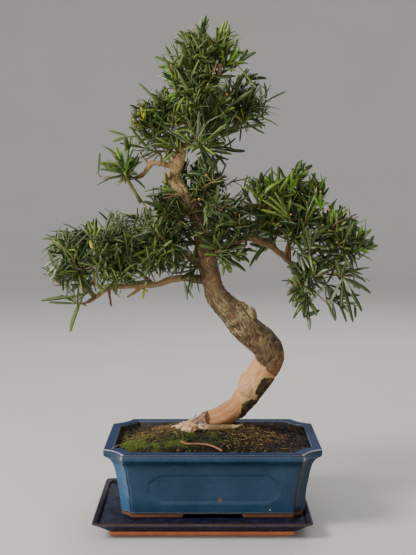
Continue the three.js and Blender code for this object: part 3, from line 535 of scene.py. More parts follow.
def tray_glaze(vessel):
    """Dark violet-blue glaze with dense pale flecks, brown over its edges."""
    material, nodes = new_material("Tray glaze")
    lip = nodes.times(nodes.level_line(TRAY_LIP_LINE, 0.5, 0.3), nodes.mask("outer_face"))
    colour = nodes.coats(
        vessel.tray_glaze[:],
        (nodes.clouds(60.0, 0.38, 0.68), (26, 29, 62)),
        (nodes.specks(330.0, 0.42, 0.45), (74, 84, 142), 0.55),
        (nodes.specks(380.0, 0.4, 0.42), (12, 11, 18), 0.75),
        (nodes.worn(nodes.mask("brown_edge"), 130.0), (66, 46, 37)),
        # Painted shade on the tray's inside wall and under its flange.
        (nodes.mask("hollow"), (26, 19, 20), 0.85),
        (nodes.worn(lip, 210.0), (176, 172, 190), 0.5),
        (nodes.specks(26.0, 0.06, 0.12), (150, 92, 54)))
    nodes.cover(colour, nodes.ramp(nodes.noise(90.0), 0.3, 0.7, 0.42, 0.58), specular=0.3,
                normal=nodes.bump(nodes.noise(260.0), 0.0003, 0.6))
    return material


def bare_clay(name, clay, dust):
    """Unglazed stoneware, sandy and worn."""
    material, nodes = new_material(name)
    colour = nodes.mix(nodes.clouds(70.0, 0.35, 0.7), clay, dust)
    colour = nodes.coats(colour, (nodes.specks(700.0, 0.34, 0.3), (70, 44, 32), 0.55))
    nodes.cover(colour, 0.86, normal=nodes.bump(nodes.noise(900.0), 0.0003, 0.7))
    return material


def bark_material(limbs, name, marks):
    """Flaking bark and peeled wood, told apart by what is painted on the mesh."""
    material, nodes = new_material(name)
    relief, plate, flaky, streak = (nodes.mask(key) for key in ("relief", "plate", "flaky", "streak"))
    fine = nodes.noise(620.0, 4.0, 0.65)
    uneven = nodes.ramp(fine, 0.25, 0.6, 0.6, 1.0)
    chips = nodes.clouds(260.0, 0.5, 0.62)
    bark = nodes.mix(nodes.ramp(plate, 0.1, 0.55), paint(62, 45, 29), limbs.bark[:])
    bark = nodes.coats(
        bark,
        (nodes.ramp(plate, 0.55, 0.95), (148, 120, 76)),
        (nodes.clouds(110.0, 0.44, 0.56), (154, 128, 80), 0.3),
        (nodes.clouds(30.0, 0.42, 0.66), (82, 74, 41), 0.6),
        (nodes.ramp(fine, 0.35, 0.7), (72, 50, 33), 0.45),
        (chips, (50, 36, 25), 0.55),
        # The bark's own darker cracks, deepened with painted shade.
        (nodes.ramp(relief, 0.02, 0.45, 1.0, 0.0), (48, 36, 25)),
        # Tints and painted light from the tables of marks.
        *[(nodes.spot(place, radius, share), tint, uneven) for place, radius, share, tint in marks],
        (nodes.times(flaky, nodes.ramp(relief, 0.5, 0.72)), (190, 170, 134), 0.5),
        # Dark fissures among the loose flakes: the bark's own colour with painted shade in them.
        (nodes.times(flaky, nodes.ramp(relief, 0.2, 0.5, 1.0, 0.0)), (34, 26, 20), 0.85),
        (nodes.ramp(relief, 0.68, 0.92), (204, 178, 132), 0.5))
    wood = nodes.coats(
        limbs.wood[:],
        (nodes.ramp(streak, 0.5, 0.3), (238, 196, 142), 0.4),
        (nodes.ramp(streak, 0.5, 0.68), (168, 104, 64), 0.35),
        # Painted highlight: a pale glow on the bulge of the peeled wood.
        (nodes.spot((60, -16, 182), 24, 0.5), (232, 194, 148)),
        (nodes.clouds(22.0, 0.4, 0.7), (182, 106, 66), 0.4),
        (nodes.ramp(fine, 0.4, 0.75), (232, 190, 144), 0.22),
        # Painted shade: the peeled wood darkens towards the soil.
        (nodes.spot((22, 0, 130), 48, 0.55), (150, 96, 58)),
        (nodes.mask("cut_root"), nodes.mix(streak, paint(150, 126, 80), paint(92, 70, 42))),
        (nodes.spot((46, -8, 130), 6, 0.6), (196, 186, 124)))
    colour = nodes.coats(
        nodes.mix(nodes.mask("peeled"), bark, wood),
        (nodes.mask("scar"),
         nodes.mix(nodes.ramp(relief, 0.3, 0.8), paint(70, 44, 32), paint(128, 82, 58))),
        (nodes.mask("rim"), (196, 182, 112)),
        (nodes.mask("root"),
         nodes.mix(nodes.ramp(relief, 0.2, 0.8), paint(70, 50, 33), paint(222, 200, 158))))
    coarse = nodes.math("MULTIPLY_ADD", chips, -0.6, fine)
    nodes.cover(colour, 0.72, normal=nodes.bump(coarse, 0.0011, 0.8))
    return material


def speckled(name, colour, other, scale, roughness, bump=0.0004):
    """A plain colour that drifts towards another."""
    material, nodes = new_material(name)
    colour = nodes.mix(nodes.clouds(scale), colour, other)
    nodes.cover(colour, roughness, normal=nodes.bump(nodes.noise(scale * 4), bump, 0.6))
    return material


def shade_of(colour, share):
    return tuple(share * value for value in colour)


def leaf_material(name, colour, roughness):
    """Leathery leaf: one base colour with a faint drift, and a soft gloss."""
    material, nodes = new_material(name)
    colour = nodes.mix(nodes.clouds(90.0, 0.3, 0.7), shade_of(colour, 0.72), colour)
    nodes.cover(colour, roughness, specular=0.45)
    return material


def deselect():
    """Nothing is selected, so that the next operator acts only on its own piece."""
    bpy.ops.object.select_all(action="DESELECT")


def select_only(piece):
    deselect()
    piece.select_set(True)
    bpy.context.view_layer.objects.active = piece


def finish(piece, material, slot, *nodes, angle=None):
    """Places a finished piece in the frame, with its material, smooth shading and CAD nodes."""
    select_only(piece)
    bpy.ops.object.transform_apply(location=True, rotation=True, scale=True)
    if angle is None:
        bpy.ops.object.shade_smooth()
    else:
        bpy.ops.object.shade_smooth_by_angle(angle=math.radians(angle))
    piece.data.materials.clear()
    piece.data.materials.append(material)
    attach(piece, "root")
    if nodes:
        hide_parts(*nodes)
    return piece


def apply_modifier(kind, **settings):
    """Adds a modifier to the active piece and applies it."""
    piece = bpy.context.object
    modifier = piece.modifiers.new(kind.title(), kind)
    for key, value in settings.items():
        setattr(modifier, key, value)
    bpy.ops.object.modifier_apply(modifier=modifier.name)


def select_points(piece, wanted):
    """Selects the vertices, in edit mode, whose place answers a test."""
    bpy.ops.mesh.select_all(action="DESELECT")
    bpy.ops.object.mode_set(mode="OBJECT")
    for vertex in piece.data.vertices:
        vertex.select = wanted(piece.matrix_world @ vertex.co)
    bpy.ops.object.mode_set(mode="EDIT")


def cut_corner_plate(name, centre, width, depth, cut, profile=0.5, steps=4, soften=None):
    """A flat plate with cut corners, left in edit mode with its face selected."""
    deselect()
    bpy.ops.mesh.primitive_plane_add(size=1, location=centre)
    piece = bpy.context.object
    piece.name = piece.data.name = name
    bpy.ops.object.mode_set(mode="EDIT")
    bpy.ops.mesh.select_mode(type="VERT")
    bpy.ops.transform.resize(value=(width, depth, 1), center_override=centre)
    bpy.ops.mesh.bevel(offset=cut, affect="VERTICES", segments=steps, profile=profile)
    if soften:
        side = Vector((width / 2, depth / 2)) - Vector((1e-5, 1e-5))
        select_points(piece, lambda p: abs(p.x - centre[0]) > side.x or abs(p.y - centre[1]) > side.y)
        bpy.ops.mesh.bevel(offset=soften, affect="VERTICES", segments=2, profile=0.5)
    bpy.ops.mesh.select_all(action="SELECT")
    return piece


def raise_wall(rings, centre, width, depth):
    """Extrudes the selected face from ring to ring: each is (height, inset) in metres."""
    (z, inset) = rings[0]
    for next_z, next_inset in rings[1:]:
        bpy.ops.mesh.extrude_region_move(TRANSFORM_OT_translate={"value": (0, 0, next_z - z)})
        across = (width - 2 * next_inset) / (width - 2 * inset)
        along = (depth - 2 * next_inset) / (depth - 2 * inset)
        bpy.ops.transform.resize(value=(across, along, 1), center_override=(centre[0], centre[1], next_z))
        z, inset = next_z, next_inset


def slice_evenly(low, high, clear, count, axis):
    """Cuts new columns of faces through a piece, evenly along an axis but clear of its ends."""
    low, high = low + clear, high - clear
    way = Vector((1, 0, 0)) if axis == 0 else Vector((0, 1, 0))
    for i in range(1, count):
        bpy.ops.mesh.select_all(action="SELECT")
        place = low + (high - low) * i / count
        bpy.ops.mesh.bisect(plane_co=way * place, plane_no=way)


def leave_closed(inside=False):
    """Turns all faces the same way and leaves edit mode."""
    bpy.ops.mesh.select_all(action="SELECT")
    bpy.ops.mesh.normals_make_consistent(inside=inside)
    bpy.ops.object.mode_set(mode="OBJECT")


def round_off():
    """Turns a cage of few faces into the smooth shape, in its place."""
    leave_closed()
    apply_modifier("SUBSURF", levels=2, render_levels=2)
    bpy.ops.object.transform_apply(location=True, rotation=True, scale=True)


def mesh_points(piece):
    """The places of a piece's vertices and their normals, in millimetres and unit lengths."""
    mesh = piece.data
    points = np.empty(len(mesh.vertices) * 3)
    mesh.vertices.foreach_get("co", points)
    normals = np.empty(len(mesh.vertices) * 3)
    mesh.vertex_normals.foreach_get("vector", normals)
    return points.reshape(-1, 3) / MM, normals.reshape(-1, 3)


def move_points(piece, points):
    piece.data.vertices.foreach_set("co", (points * MM).ravel())
    piece.data.update()


def paint_masks(piece, **masks):
    """Keeps values from 0 to 1 at each vertex, for the material to read."""
    for name, values in masks.items():
        mask = piece.data.attributes.new(name, "FLOAT", "POINT")
        mask.data.foreach_set("value", np.clip(values, 0, 1).astype(np.float32))


def smooth_step(values, low, high):
    share = np.clip((values - low) / (high - low), 0, 1)
    return share * share * (3 - 2 * share)


def panel_share(x, z):
    """How deep a place lies in the octagonal panel of the pot's front: 0 outside, 1 inside."""
    (cx, cz), (hx, hz) = POT_PANEL["centre"], POT_PANEL["half"]
    cut_x, cut_z = POT_PANEL["cut"]
    dx, dz = np.abs(x - cx), np.abs(z - cz)
    slope = math.hypot(1 / cut_x, 1 / cut_z)
    corner = ((dx - (hx - cut_x)) / cut_x + (dz - (hz - cut_z)) / cut_z - 1) / slope
    outside = np.maximum(np.maximum(dx - hx, dz - hz), corner)
    return 1 - smooth_step(outside, -POT_PANEL["edge"], 0)


def dress_pot_wall(piece, panel_depth):
    """Lets the panels into the long sides and paints the edges that the glaze breaks over, with painted
    highlights on the pale ones, and the painted light and shade of the scooped corners, the neck, the panel's
    edge and the rim's top.
    """
    points, normals = mesh_points(piece)
    centre = np.array(POT_CENTRE) / MM
    half = np.array([POT_SIZE.x, POT_SIZE.y]) / MM / 2
    drop = POT_HIGH.z / MM - points[:, 2]
    outer = POT_WALL[POT_OUTER_RINGS::-1]
    inset = np.interp(drop, [d for d, _ in outer], [i for _, i in outer])
    sides = half - inset[:, None]
    away = points - centre
    old_cut = POT_CUT * sides / half
    new_cut = np.interp(drop, *zip(*CUT_STEPS))[:, None]
    place = np.abs(away[:, :2])
    flat = place * (sides - new_cut) / (sides - old_cut)
    near = sides - (sides - place) * new_cut / old_cut
    place = np.where(place < sides - old_cut, flat, near)
    points[:, :2] = centre[:2] + np.sign(away[:, :2]) * place
    long_side = np.abs(normals[:, 1]) * (np.sign(away[:, 1]) == np.sign(normals[:, 1])) > 0.8
    share = panel_share(points[:, 0], points[:, 2]) * long_side
    points[:, 1] -= np.sign(away[:, 1]) * share * panel_depth / MM
    move_points(piece, points)
    ends = [np.abs(place - sides + new_cut * (1, 0)), np.abs(place - sides + new_cut * (0, 1))]
    to_end = np.min([np.hypot(*end.T) for end in ends], 0)
    outward = np.sum(normals[:, :2] * away[:, :2], 1) > 0
    upright = smooth_step(-to_end, -2.6, -0.7) * outward
    in_corner = np.all(place > sides - new_cut - 3, 1)
    lip = smooth_step(normals[:, 2], 0.25, 0.5) * smooth_step(-normals[:, 2], -0.97, -0.8)
    top_edge = lip * (drop < 3.2)
    # Pale edges: partly the glaze breaking pale, partly a painted highlight along the rim's corners and inner
    # edge.
    pale = np.maximum(top_edge * in_corner * outward, upright * (drop < 11))
    brown = np.maximum(top_edge * outward * ~in_corner, upright * (drop > 11) * 0.95)
    neck = smooth_step(drop, 11, 14) * smooth_step(-drop, -25, -17) * outward
    # Painted light and shade on the scooped corners: the left ones are painted pale, the right ones dark.
    scoop = smooth_step(drop, 10, 13) * in_corner * outward * smooth_step(to_end, 0.8, 2.2)
    paint_masks(
        piece, brown_edge=brown, pale_edge=pale + 0.25 * top_edge * ~outward,
        # Painted shade: the concave neck and the panel's edge are painted darker.
        hollow=0.7 * neck + 1.6 * share * (1 - share),
        bare=smooth_step(drop, 88.0, 88.9) * outward,
        thin=scoop * (away[:, 0] < 0), thick=scoop * (away[:, 0] > 0),
        # Painted shade on the rim's top face.
        mouth=smooth_step(normals[:, 2], 0.6, 0.9) * (drop < 3),
        earthy=smooth_step(drop, 1.8, 4.4) * ~outward)


class BONSAI_OT_pot(bpy.types.Operator):
    """Models the pot's glazed body: scooped corners, rim band, neck and front panel"""

    bl_idname = "bonsai.pot"
    bl_label = "Pot"

    def execute(self, context):
        vessel = context.scene.bonsai_vessel
        top = POT_HIGH.z
        rings = [(top - drop * MM, inset * MM) for drop, inset in POT_WALL]
        z, inset = rings[0]
        centre = (POT_CENTRE.x, POT_CENTRE.y, z)
        width, depth = POT_SIZE.x - 2 * inset, POT_SIZE.y - 2 * inset
        cut = POT_CUT * MM * width / POT_SIZE.x
        pot = cut_corner_plate(
            "pot_glazed", centre, width, depth, cut, profile=0.14, steps=6, soften=0.0013)
        raise_wall(rings, centre, POT_SIZE.x, POT_SIZE.y)
        slice_evenly(POT_LOW.x, POT_HIGH.x, clear=0.03, count=26, axis=0)
        slice_evenly(POT_LOW.y, POT_HIGH.y, clear=0.03, count=9, axis=1)
        round_off()
        dress_pot_wall(pot, vessel.panel_depth)
        finish(pot, pot_glaze(vessel), "pot_glaze", "pot")
        return {"FINISHED"}


def arch_cutter(span, length, along_x):
    """A bar with slanted sides that clears the arch between two feet."""
    feet = POT_FEET
    base = POT_LOW.z
    height = feet["height"] * MM
    deselect()
    bpy.ops.mesh.primitive_cube_add(size=1, location=(POT_CENTRE.x, POT_CENTRE.y, base + height / 2))
    bar = bpy.context.object
    size = (length, span * MM) if along_x else (span * MM, length)
    bpy.ops.object.mode_set(mode="EDIT")
    bpy.ops.transform.resize(value=(*size, height * 1.002), center_override=bar.location)
    select_points(bar, lambda p: p.z < base + height / 2)
    spread = 1 + 2 * feet["slant"] / span
    value = (1, spread, 1) if along_x else (spread, 1, 1)
    bpy.ops.transform.resize(value=value, center_override=(POT_CENTRE.x, POT_CENTRE.y, base))
    bpy.ops.object.mode_set(mode="OBJECT")
    return bar


class BONSAI_OT_pot_feet(bpy.types.Operator):
    """Models the pot's four bare clay feet"""

    bl_idname = "bonsai.pot_feet"
    bl_label = "Pot feet"

    def execute(self, context):
        vessel = context.scene.bonsai_vessel
        feet = POT_FEET
        inset = feet["inset"] * MM
        centre = (POT_CENTRE.x, POT_CENTRE.y, POT_LOW.z)
        width, depth = POT_SIZE.x - 2 * inset, POT_SIZE.y - 2 * inset
        cut = CUT_STEPS[-1][1] * MM
        piece = cut_corner_plate(
            "pot_feet", centre, width - 0.003, depth - 0.003, cut, profile=0.16, steps=6)
        top = POT_LOW.z + feet["height"] * MM
        raise_wall([(POT_LOW.z, 0.0015), (POT_LOW.z + 0.0012, 0.0004), (top, 0)], centre, width, depth)
        leave_closed()
        bpy.ops.mesh.primitive_cube_add(size=1, location=(POT_CENTRE.x, POT_CENTRE.y, top))
        core = bpy.context.object
        wall = 2 * feet["wall"] * MM
        core.scale = (width - wall, depth - wall, 0.05)
        bars = [core, arch_cutter(feet["front_arch"], 1, False), arch_cutter(feet["side_arch"], 1, True)]
        select_only(piece)
        for bar in bars:
            apply_modifier("BOOLEAN", operation="DIFFERENCE", object=bar, solver="EXACT")
        for bar in bars:
            bpy.data.objects.remove(bar)
        apply_modifier("BEVEL", width=0.0007, segments=2, limit_method="ANGLE")
        finish(piece, bare_clay("Foot clay", vessel.clay[:], paint(104, 70, 46)), "pot_glaze", angle=40)
        return {"FINISHED"}


class BONSAI_OT_tray(bpy.types.Operator):
    """Models the glazed drip tray and its bare clay foot"""

    bl_idname = "bonsai.tray"
    bl_label = "Tray"

    def execute(self, context):
        vessel = context.scene.bonsai_vessel
        rings = [(z * MM, inset * MM) for z, inset in TRAY_WALL]
        z, inset = rings[0]
        width, depth = TRAY_SIZE.x, TRAY_SIZE.y
        cut = TRAY_CORNER * MM
        tray = cut_corner_plate("tray_glazed", (0, 0, z), width - 2 * inset, depth - 2 * inset, cut)
        raise_wall(rings, (0, 0, z), width, depth)
        slice_evenly(-width / 2, width / 2, clear=0.02, count=8, axis=0)
        slice_evenly(-depth / 2, depth / 2, clear=0.02, count=6, axis=1)
        round_off()
        points, normals = mesh_points(tray)
        edge = np.minimum(width / MM / 2 - np.abs(points[:, 0]), depth / MM / 2 - np.abs(points[:, 1]))
        high = points[:, 2]
        outer = smooth_step(-edge, -2.2, -1.0) * smooth_step(high, 20.0, 21.2)
        inner = smooth_step(-np.abs(edge - 6.0), -1.3, -0.5) * (high > 17)
        # Painted shade: the tray's inside wall and the underside of its flange are painted darker.
        wall = smooth_step(edge, 6.4, 7.2) * smooth_step(-edge, -10.5, -8.6) * (normals[:, 2] > -0.2)
        paint_masks(tray, brown_edge=outer + 0.8 * inner, outer_face=smooth_step(-edge, -3.0, -2.4),
                    hollow=wall + 0.9 * (high < 19.5) * (edge < 6.5))
        finish(tray, tray_glaze(vessel), "tray_glaze", "tray")
        inset = TRAY_PAD["inset"] * MM
        size = (width - 2 * inset, depth - 2 * inset)
        pad = cut_corner_plate("tray_foot", (0, 0, 0), *size, cut)
        raise_wall([(0, 0), (TRAY_PAD["height"] * MM + 0.0008, 0)], (0, 0, 0), *size)
        leave_closed()
        apply_modifier("BEVEL", width=0.0008, segments=3, limit_method="ANGLE")
        # Painted light: the tray's foot is the same clay as the pot's feet, painted much lighter as if lit
        # under the flange.
        finish(pad, bare_clay("Tray clay painted light", paint(232, 134, 84), paint(214, 122, 76)), "tray_glaze", angle=40)
        return {"FINISHED"}


def mesh_piece(name, points, faces):
    """A piece from a list of places, in millimetres, and of faces with equal corners."""
    mesh = bpy.data.meshes.new(name)
    mesh.vertices.add(len(points))
    mesh.vertices.foreach_set("co", (np.asarray(points) * MM).ravel())
    faces = np.asarray(faces, np.int32)
    mesh.loops.add(faces.size)
    mesh.loops.foreach_set("vertex_index", faces.ravel())
    mesh.polygons.add(len(faces))
    mesh.polygons.foreach_set("loop_start", np.arange(0, faces.size, faces.shape[1], dtype=np.int32))
    mesh.update(calc_edges=True)
    mesh.validate()
    piece = bpy.data.objects.new(name, mesh)
    bpy.context.scene.collection.objects.link(piece)
    return piece


def unit(vectors):
    """Vectors of length 1."""
    return vectors / np.maximum(np.linalg.norm(vectors, axis=-1, keepdims=True), 1e-9)


def repeated(points, faces):
    """Equal small shapes, each with its own places, as one mesh's arrays."""
    steps = np.arange(len(points))[:, None, None] * points.shape[1]
    return points.reshape(-1, 3), (np.asarray(faces)[None] + steps).reshape(-1, 3)


def many(shape, faces, places, frames, sizes):
    """Copies of a small shape, each with its own place, axes and size, as one mesh's arrays."""
    return repeated(np.einsum("nij,kj->nki", frames * sizes[:, None, :], shape) + places[:, None, :], faces)


def axes_about(ways, chance):
    """Three axes for each way: one along it and two square to it, turned by chance."""
    ways = unit(ways)
    other = unit(np.cross(ways, unit(chance)))
    return np.stack([other, np.cross(ways, other), ways], -1)


def chance_ways(random, count):
    return unit(random.normal(size=(count, 3)))


def lattice_value(cell, seed):
    """A repeatable chance value from 0 to 1 for each whole-number cell."""
    x, y, z = (cell[..., i].astype(np.int64) for i in range(3))
    mixed = (x * 73856093) ^ (y * 19349663) ^ (z * 83492791) ^ (seed * 2654435761)
    mixed = ((mixed ^ (mixed >> 13)) * 1274126177) & 0xFFFFFFFF
    return ((mixed ^ (mixed >> 16)) & 0xFFFF) / 65535


def cloud_value(places, seed):
    """Smooth noise from 0 to 1, with cells of size 1."""
    low = np.floor(places)
    share = places - low
    share = share * share * (3 - 2 * share)
    total = np.zeros(len(places))
    for corner in np.ndindex(2, 2, 2):
        weight = np.prod(np.where(corner, share, 1 - share), axis=1)
        total += weight * lattice_value(low + corner, seed)
    return total


class Limb:
    """A limb's centre line and radius, in millimetres, as the solids have them."""

    def __init__(self, stations):
        stations = np.array(stations, float)
        line = stations[:, :3]
        self.line = np.vstack([2 * line[0] - line[1], line, 2 * line[-1] - line[-2]])
        self.radii = stations[:, 3]
        self.spans = len(stations) - 1

    def _span(self, share):
        place = np.clip(np.asarray(share, float), 0, 1) * self.spans
        low = np.minimum(place.astype(int), self.spans - 1)
        return low, (place - low)[..., None]

    def _terms(self, low):
        before, start, end, after = (self.line[low + k] for k in range(4))
        leave, arrive = (end - before) / 2, (after - start) / 2
        bend = -3 * start + 3 * end - 2 * leave - arrive
        twist = 2 * start - 2 * end + leave + arrive
        return start, leave, bend, twist

    def at(self, share):
        low, t = self._span(share)
        start, leave, bend, twist = self._terms(low)
        return start + leave * t + bend * t**2 + twist * t**3

    def tangent(self, share):
        low, t = self._span(share)
        _, leave, bend, twist = self._terms(low)
        return unit(leave + 2 * bend * t + 3 * twist * t**2)

    def radius(self, share):
        low, t = self._span(share)
        return self.radii[low] + (self.radii[low + 1] - self.radii[low]) * t[..., 0]

    def even_shares(self, spacing):
        """Shares that lie evenly along the line, and the length up to each."""
        dense = np.linspace(0, 1, 40 * self.spans + 1)
        lengths = np.r_[0, np.cumsum(np.linalg.norm(np.diff(self.at(dense), axis=0), axis=1))]
        count = max(int(math.ceil(lengths[-1] / spacing)), 2)
        even = np.linspace(0, lengths[-1], count + 1)
        return np.interp(even, lengths, dense), even


def carried_frames(tangents):
    """Axes square to a line that turn as little as they can along it."""
    normal = np.cross(tangents[0], (0.0, 1.0, 0.01))
    sides = []
    for tangent in tangents:
        normal = normal - tangent * normal.dot(tangent)
        normal = normal / np.linalg.norm(normal)
        sides.append((normal, np.cross(tangent, normal)))
    return np.array(sides)


def turns(count):
    """Angles evenly round a circle."""
    return np.arange(count) * 2 * math.pi / count


def spokes(first, second, sides):
    """Ways evenly round a circle, for each pair of axes square to each other."""
    angles = turns(sides)[:, None]
    return np.cos(angles) * first[:, None] + np.sin(angles) * second[:, None]


def tube(limb, sides, spacing, relief=None):
    """A closed skin round a limb, as places and triangles."""
    shares, _ = limb.even_shares(spacing)
    frames = carried_frames(limb.tangent(shares))
    reach = np.repeat(limb.radius(shares)[:, None], sides, 1)
    if relief:
        reach = reach * relief(shares[:, None], turns(sides)[None])
    centres = limb.at(shares)
    rings = centres[:, None] + spokes(frames[:, 0], frames[:, 1], sides) * reach[..., None]
    return np.vstack([rings.reshape(-1, 3), centres[0], centres[-1]]), tube_faces(len(shares), sides)


def tube_faces(rings, sides):
    """Triangles of a tube whose two ends close on the last two points."""
    i, k = np.meshgrid(np.arange(rings - 1), np.arange(sides), indexing="ij")
    here, after = i * sides + k, i * sides + (k + 1) % sides
    wall = [np.stack([here, after, after + sides], -1), np.stack([here, after + sides, here + sides], -1)]
    k = np.arange(sides)
    first, last = rings * sides, rings * sides + 1
    low = np.stack([np.full(sides, first), (k + 1) % sides, k], -1)
    top = (rings - 1) * sides
    high = np.stack([np.full(sides, last), top + k, top + (k + 1) % sides], -1)
    return np.vstack([wall[0].reshape(-1, 3), wall[1].reshape(-1, 3), low, high])


def joined(parts):
    """Several meshes' arrays as one."""
    starts = np.cumsum([0] + [len(points) for points, _ in parts])
    return (np.vstack([points for points, _ in parts]),
            np.vstack([faces + start for (_, faces), start in zip(parts, starts)]))


def flare_relief(share, angle):
    """The lobes of the trunk's foot and its shallow flutes."""
    station = share * trunk.spans
    fade = np.maximum(0, 1 - station / FLARE["up_to"])
    return (1 + FLARE["share"] * fade * np.cos(FLARE["lobes"] * angle)
            + 0.035 * np.sin(3 * angle + station * 0.7))


trunk = Limb(TRUNK)
boughs = {name: Limb(points) for name, (_, points) in BOUGHS.items()}


def ball(centre, radii, steps=16):
    """A knot of wood, as places and triangles."""
    stations = np.linspace(0, math.pi, steps + 1)[1:-1]
    angles = np.arange(2 * steps) * math.pi / steps
    ring = np.stack([np.outer(np.sin(stations), np.cos(angles)), np.outer(np.sin(stations), np.sin(angles)),
                     np.repeat(-np.cos(stations)[:, None], 2 * steps, 1)], -1)
    points = np.vstack([ring.reshape(-1, 3), (0, 0, -1), (0, 0, 1)])
    return points * radii + centre, tube_faces(len(stations), 2 * steps)


def limb_coordinates(points, limbs):
    """For each point: station of the nearest limb place, length along it, and its place across."""
    samples = []
    for limb in limbs:
        shares, lengths = limb.even_shares(1.0)
        tangents = limb.tangent(shares)
        frames = carried_frames(tangents)
        samples.append(np.column_stack([limb.at(shares), tangents, frames[:, 0], frames[:, 1],
                                        shares * limb.spans, lengths]))
    samples = np.vstack(samples)
    tree = kdtree.KDTree(len(samples))
    for i, sample in enumerate(samples):
        tree.insert(sample[:3], i)
    tree.balance()
    nearest = samples[[tree.find(point)[1] for point in points]]
    away = points - nearest[:, :3]
    along = nearest[:, 13] + np.sum(away * nearest[:, 3:6], 1)
    across = np.sum(away * nearest[:, 6:9], 1), np.sum(away * nearest[:, 9:12], 1)
    return nearest[:, 12], along, np.stack(across, 1)


def nearness(points, places):
    """How far each point lies from the nearest of some round places, (centre, reach): 1 is at its edge."""
    return np.min([np.linalg.norm((points - centre) / reach, axis=1) for centre, reach in places], 0)


def layers(places, seed, count):
    """Smooth noise from 0 to 1 with finer and finer detail."""
    total, weight = 0, 0
    for k in range(count):
        total = total + cloud_value(places * 2**k, seed + 13 * k) / 2**k
        weight += 1 / 2**k
    return np.clip((total / weight - 0.5) * 1.5 + 0.5, 0, 1)


def bark_relief(points, limbs, plate, depth):
    """Height of flaking bark over each point, and what the material needs to know of it."""
    station, along, across = limb_coordinates(points, limbs)
    sway = np.stack([cloud_value(points / (2.4 * plate), seed) for seed in (3, 5, 9)], 1) - 0.5
    place = np.column_stack([across / plate, along / (2.1 * plate)]) + sway * 1.7
    level = layers(place, 11, 3) * FLAKE_LEVELS
    step = np.floor(level)
    part = level - step
    terrace = (step + smooth_step(part, 0, 0.2)) / FLAKE_LEVELS
    edge = 1 - smooth_step(part, 0, 0.24)
    fibre = layers(np.column_stack([across / (0.17 * plate), along / (1.1 * plate)]) + sway * 2, 21, 2)
    ridge = 1 - np.abs(2 * cloud_value(place * (1.3, 1.3, 0.9) + 7, 31) - 1)
    crease = smooth_step(ridge, 0.86, 0.98) * smooth_step(cloud_value(points / (4 * plate), 37), 0.4, 0.7)
    lump = cloud_value(points / (2.6 * plate), 33) - 0.5
    height = depth * (1.5 * (terrace - 0.5) + 0.45 * (fibre - 0.5) - 0.55 * crease + 1.3 * lump)
    rough = 0.3 + 0.65 * smooth_step(cloud_value(points / (3.4 * plate), 39), 0.3, 0.75)
    shown = np.clip(0.64 + rough * (fibre - 0.5) - 0.36 * edge - 0.5 * crease, 0, 1)
    tone = np.clip(0.5 * ((step * 0.618) % 1) + 0.5 * layers(points / (3 * plate), 35, 2), 0, 1)
    turn = unit(across)
    grain = layers(np.column_stack([turn * 5, along / 34]) + sway * 0.35, 41, 2)
    grain = 0.5 * grain + 0.5 * layers(np.column_stack([turn * 12, along / 46]) + sway * 0.25, 43, 2)
    return height, shown, tone, grain, station, along


def skin(name, parts, step, smooth):
    """One even skin over many overlapping tubes and knots."""
    piece = mesh_piece(name, *joined(parts))
    select_only(piece)
    apply_modifier("REMESH", mode="VOXEL", voxel_size=step, use_smooth_shade=True)
    apply_modifier("SMOOTH", factor=0.5, iterations=smooth)
    return piece


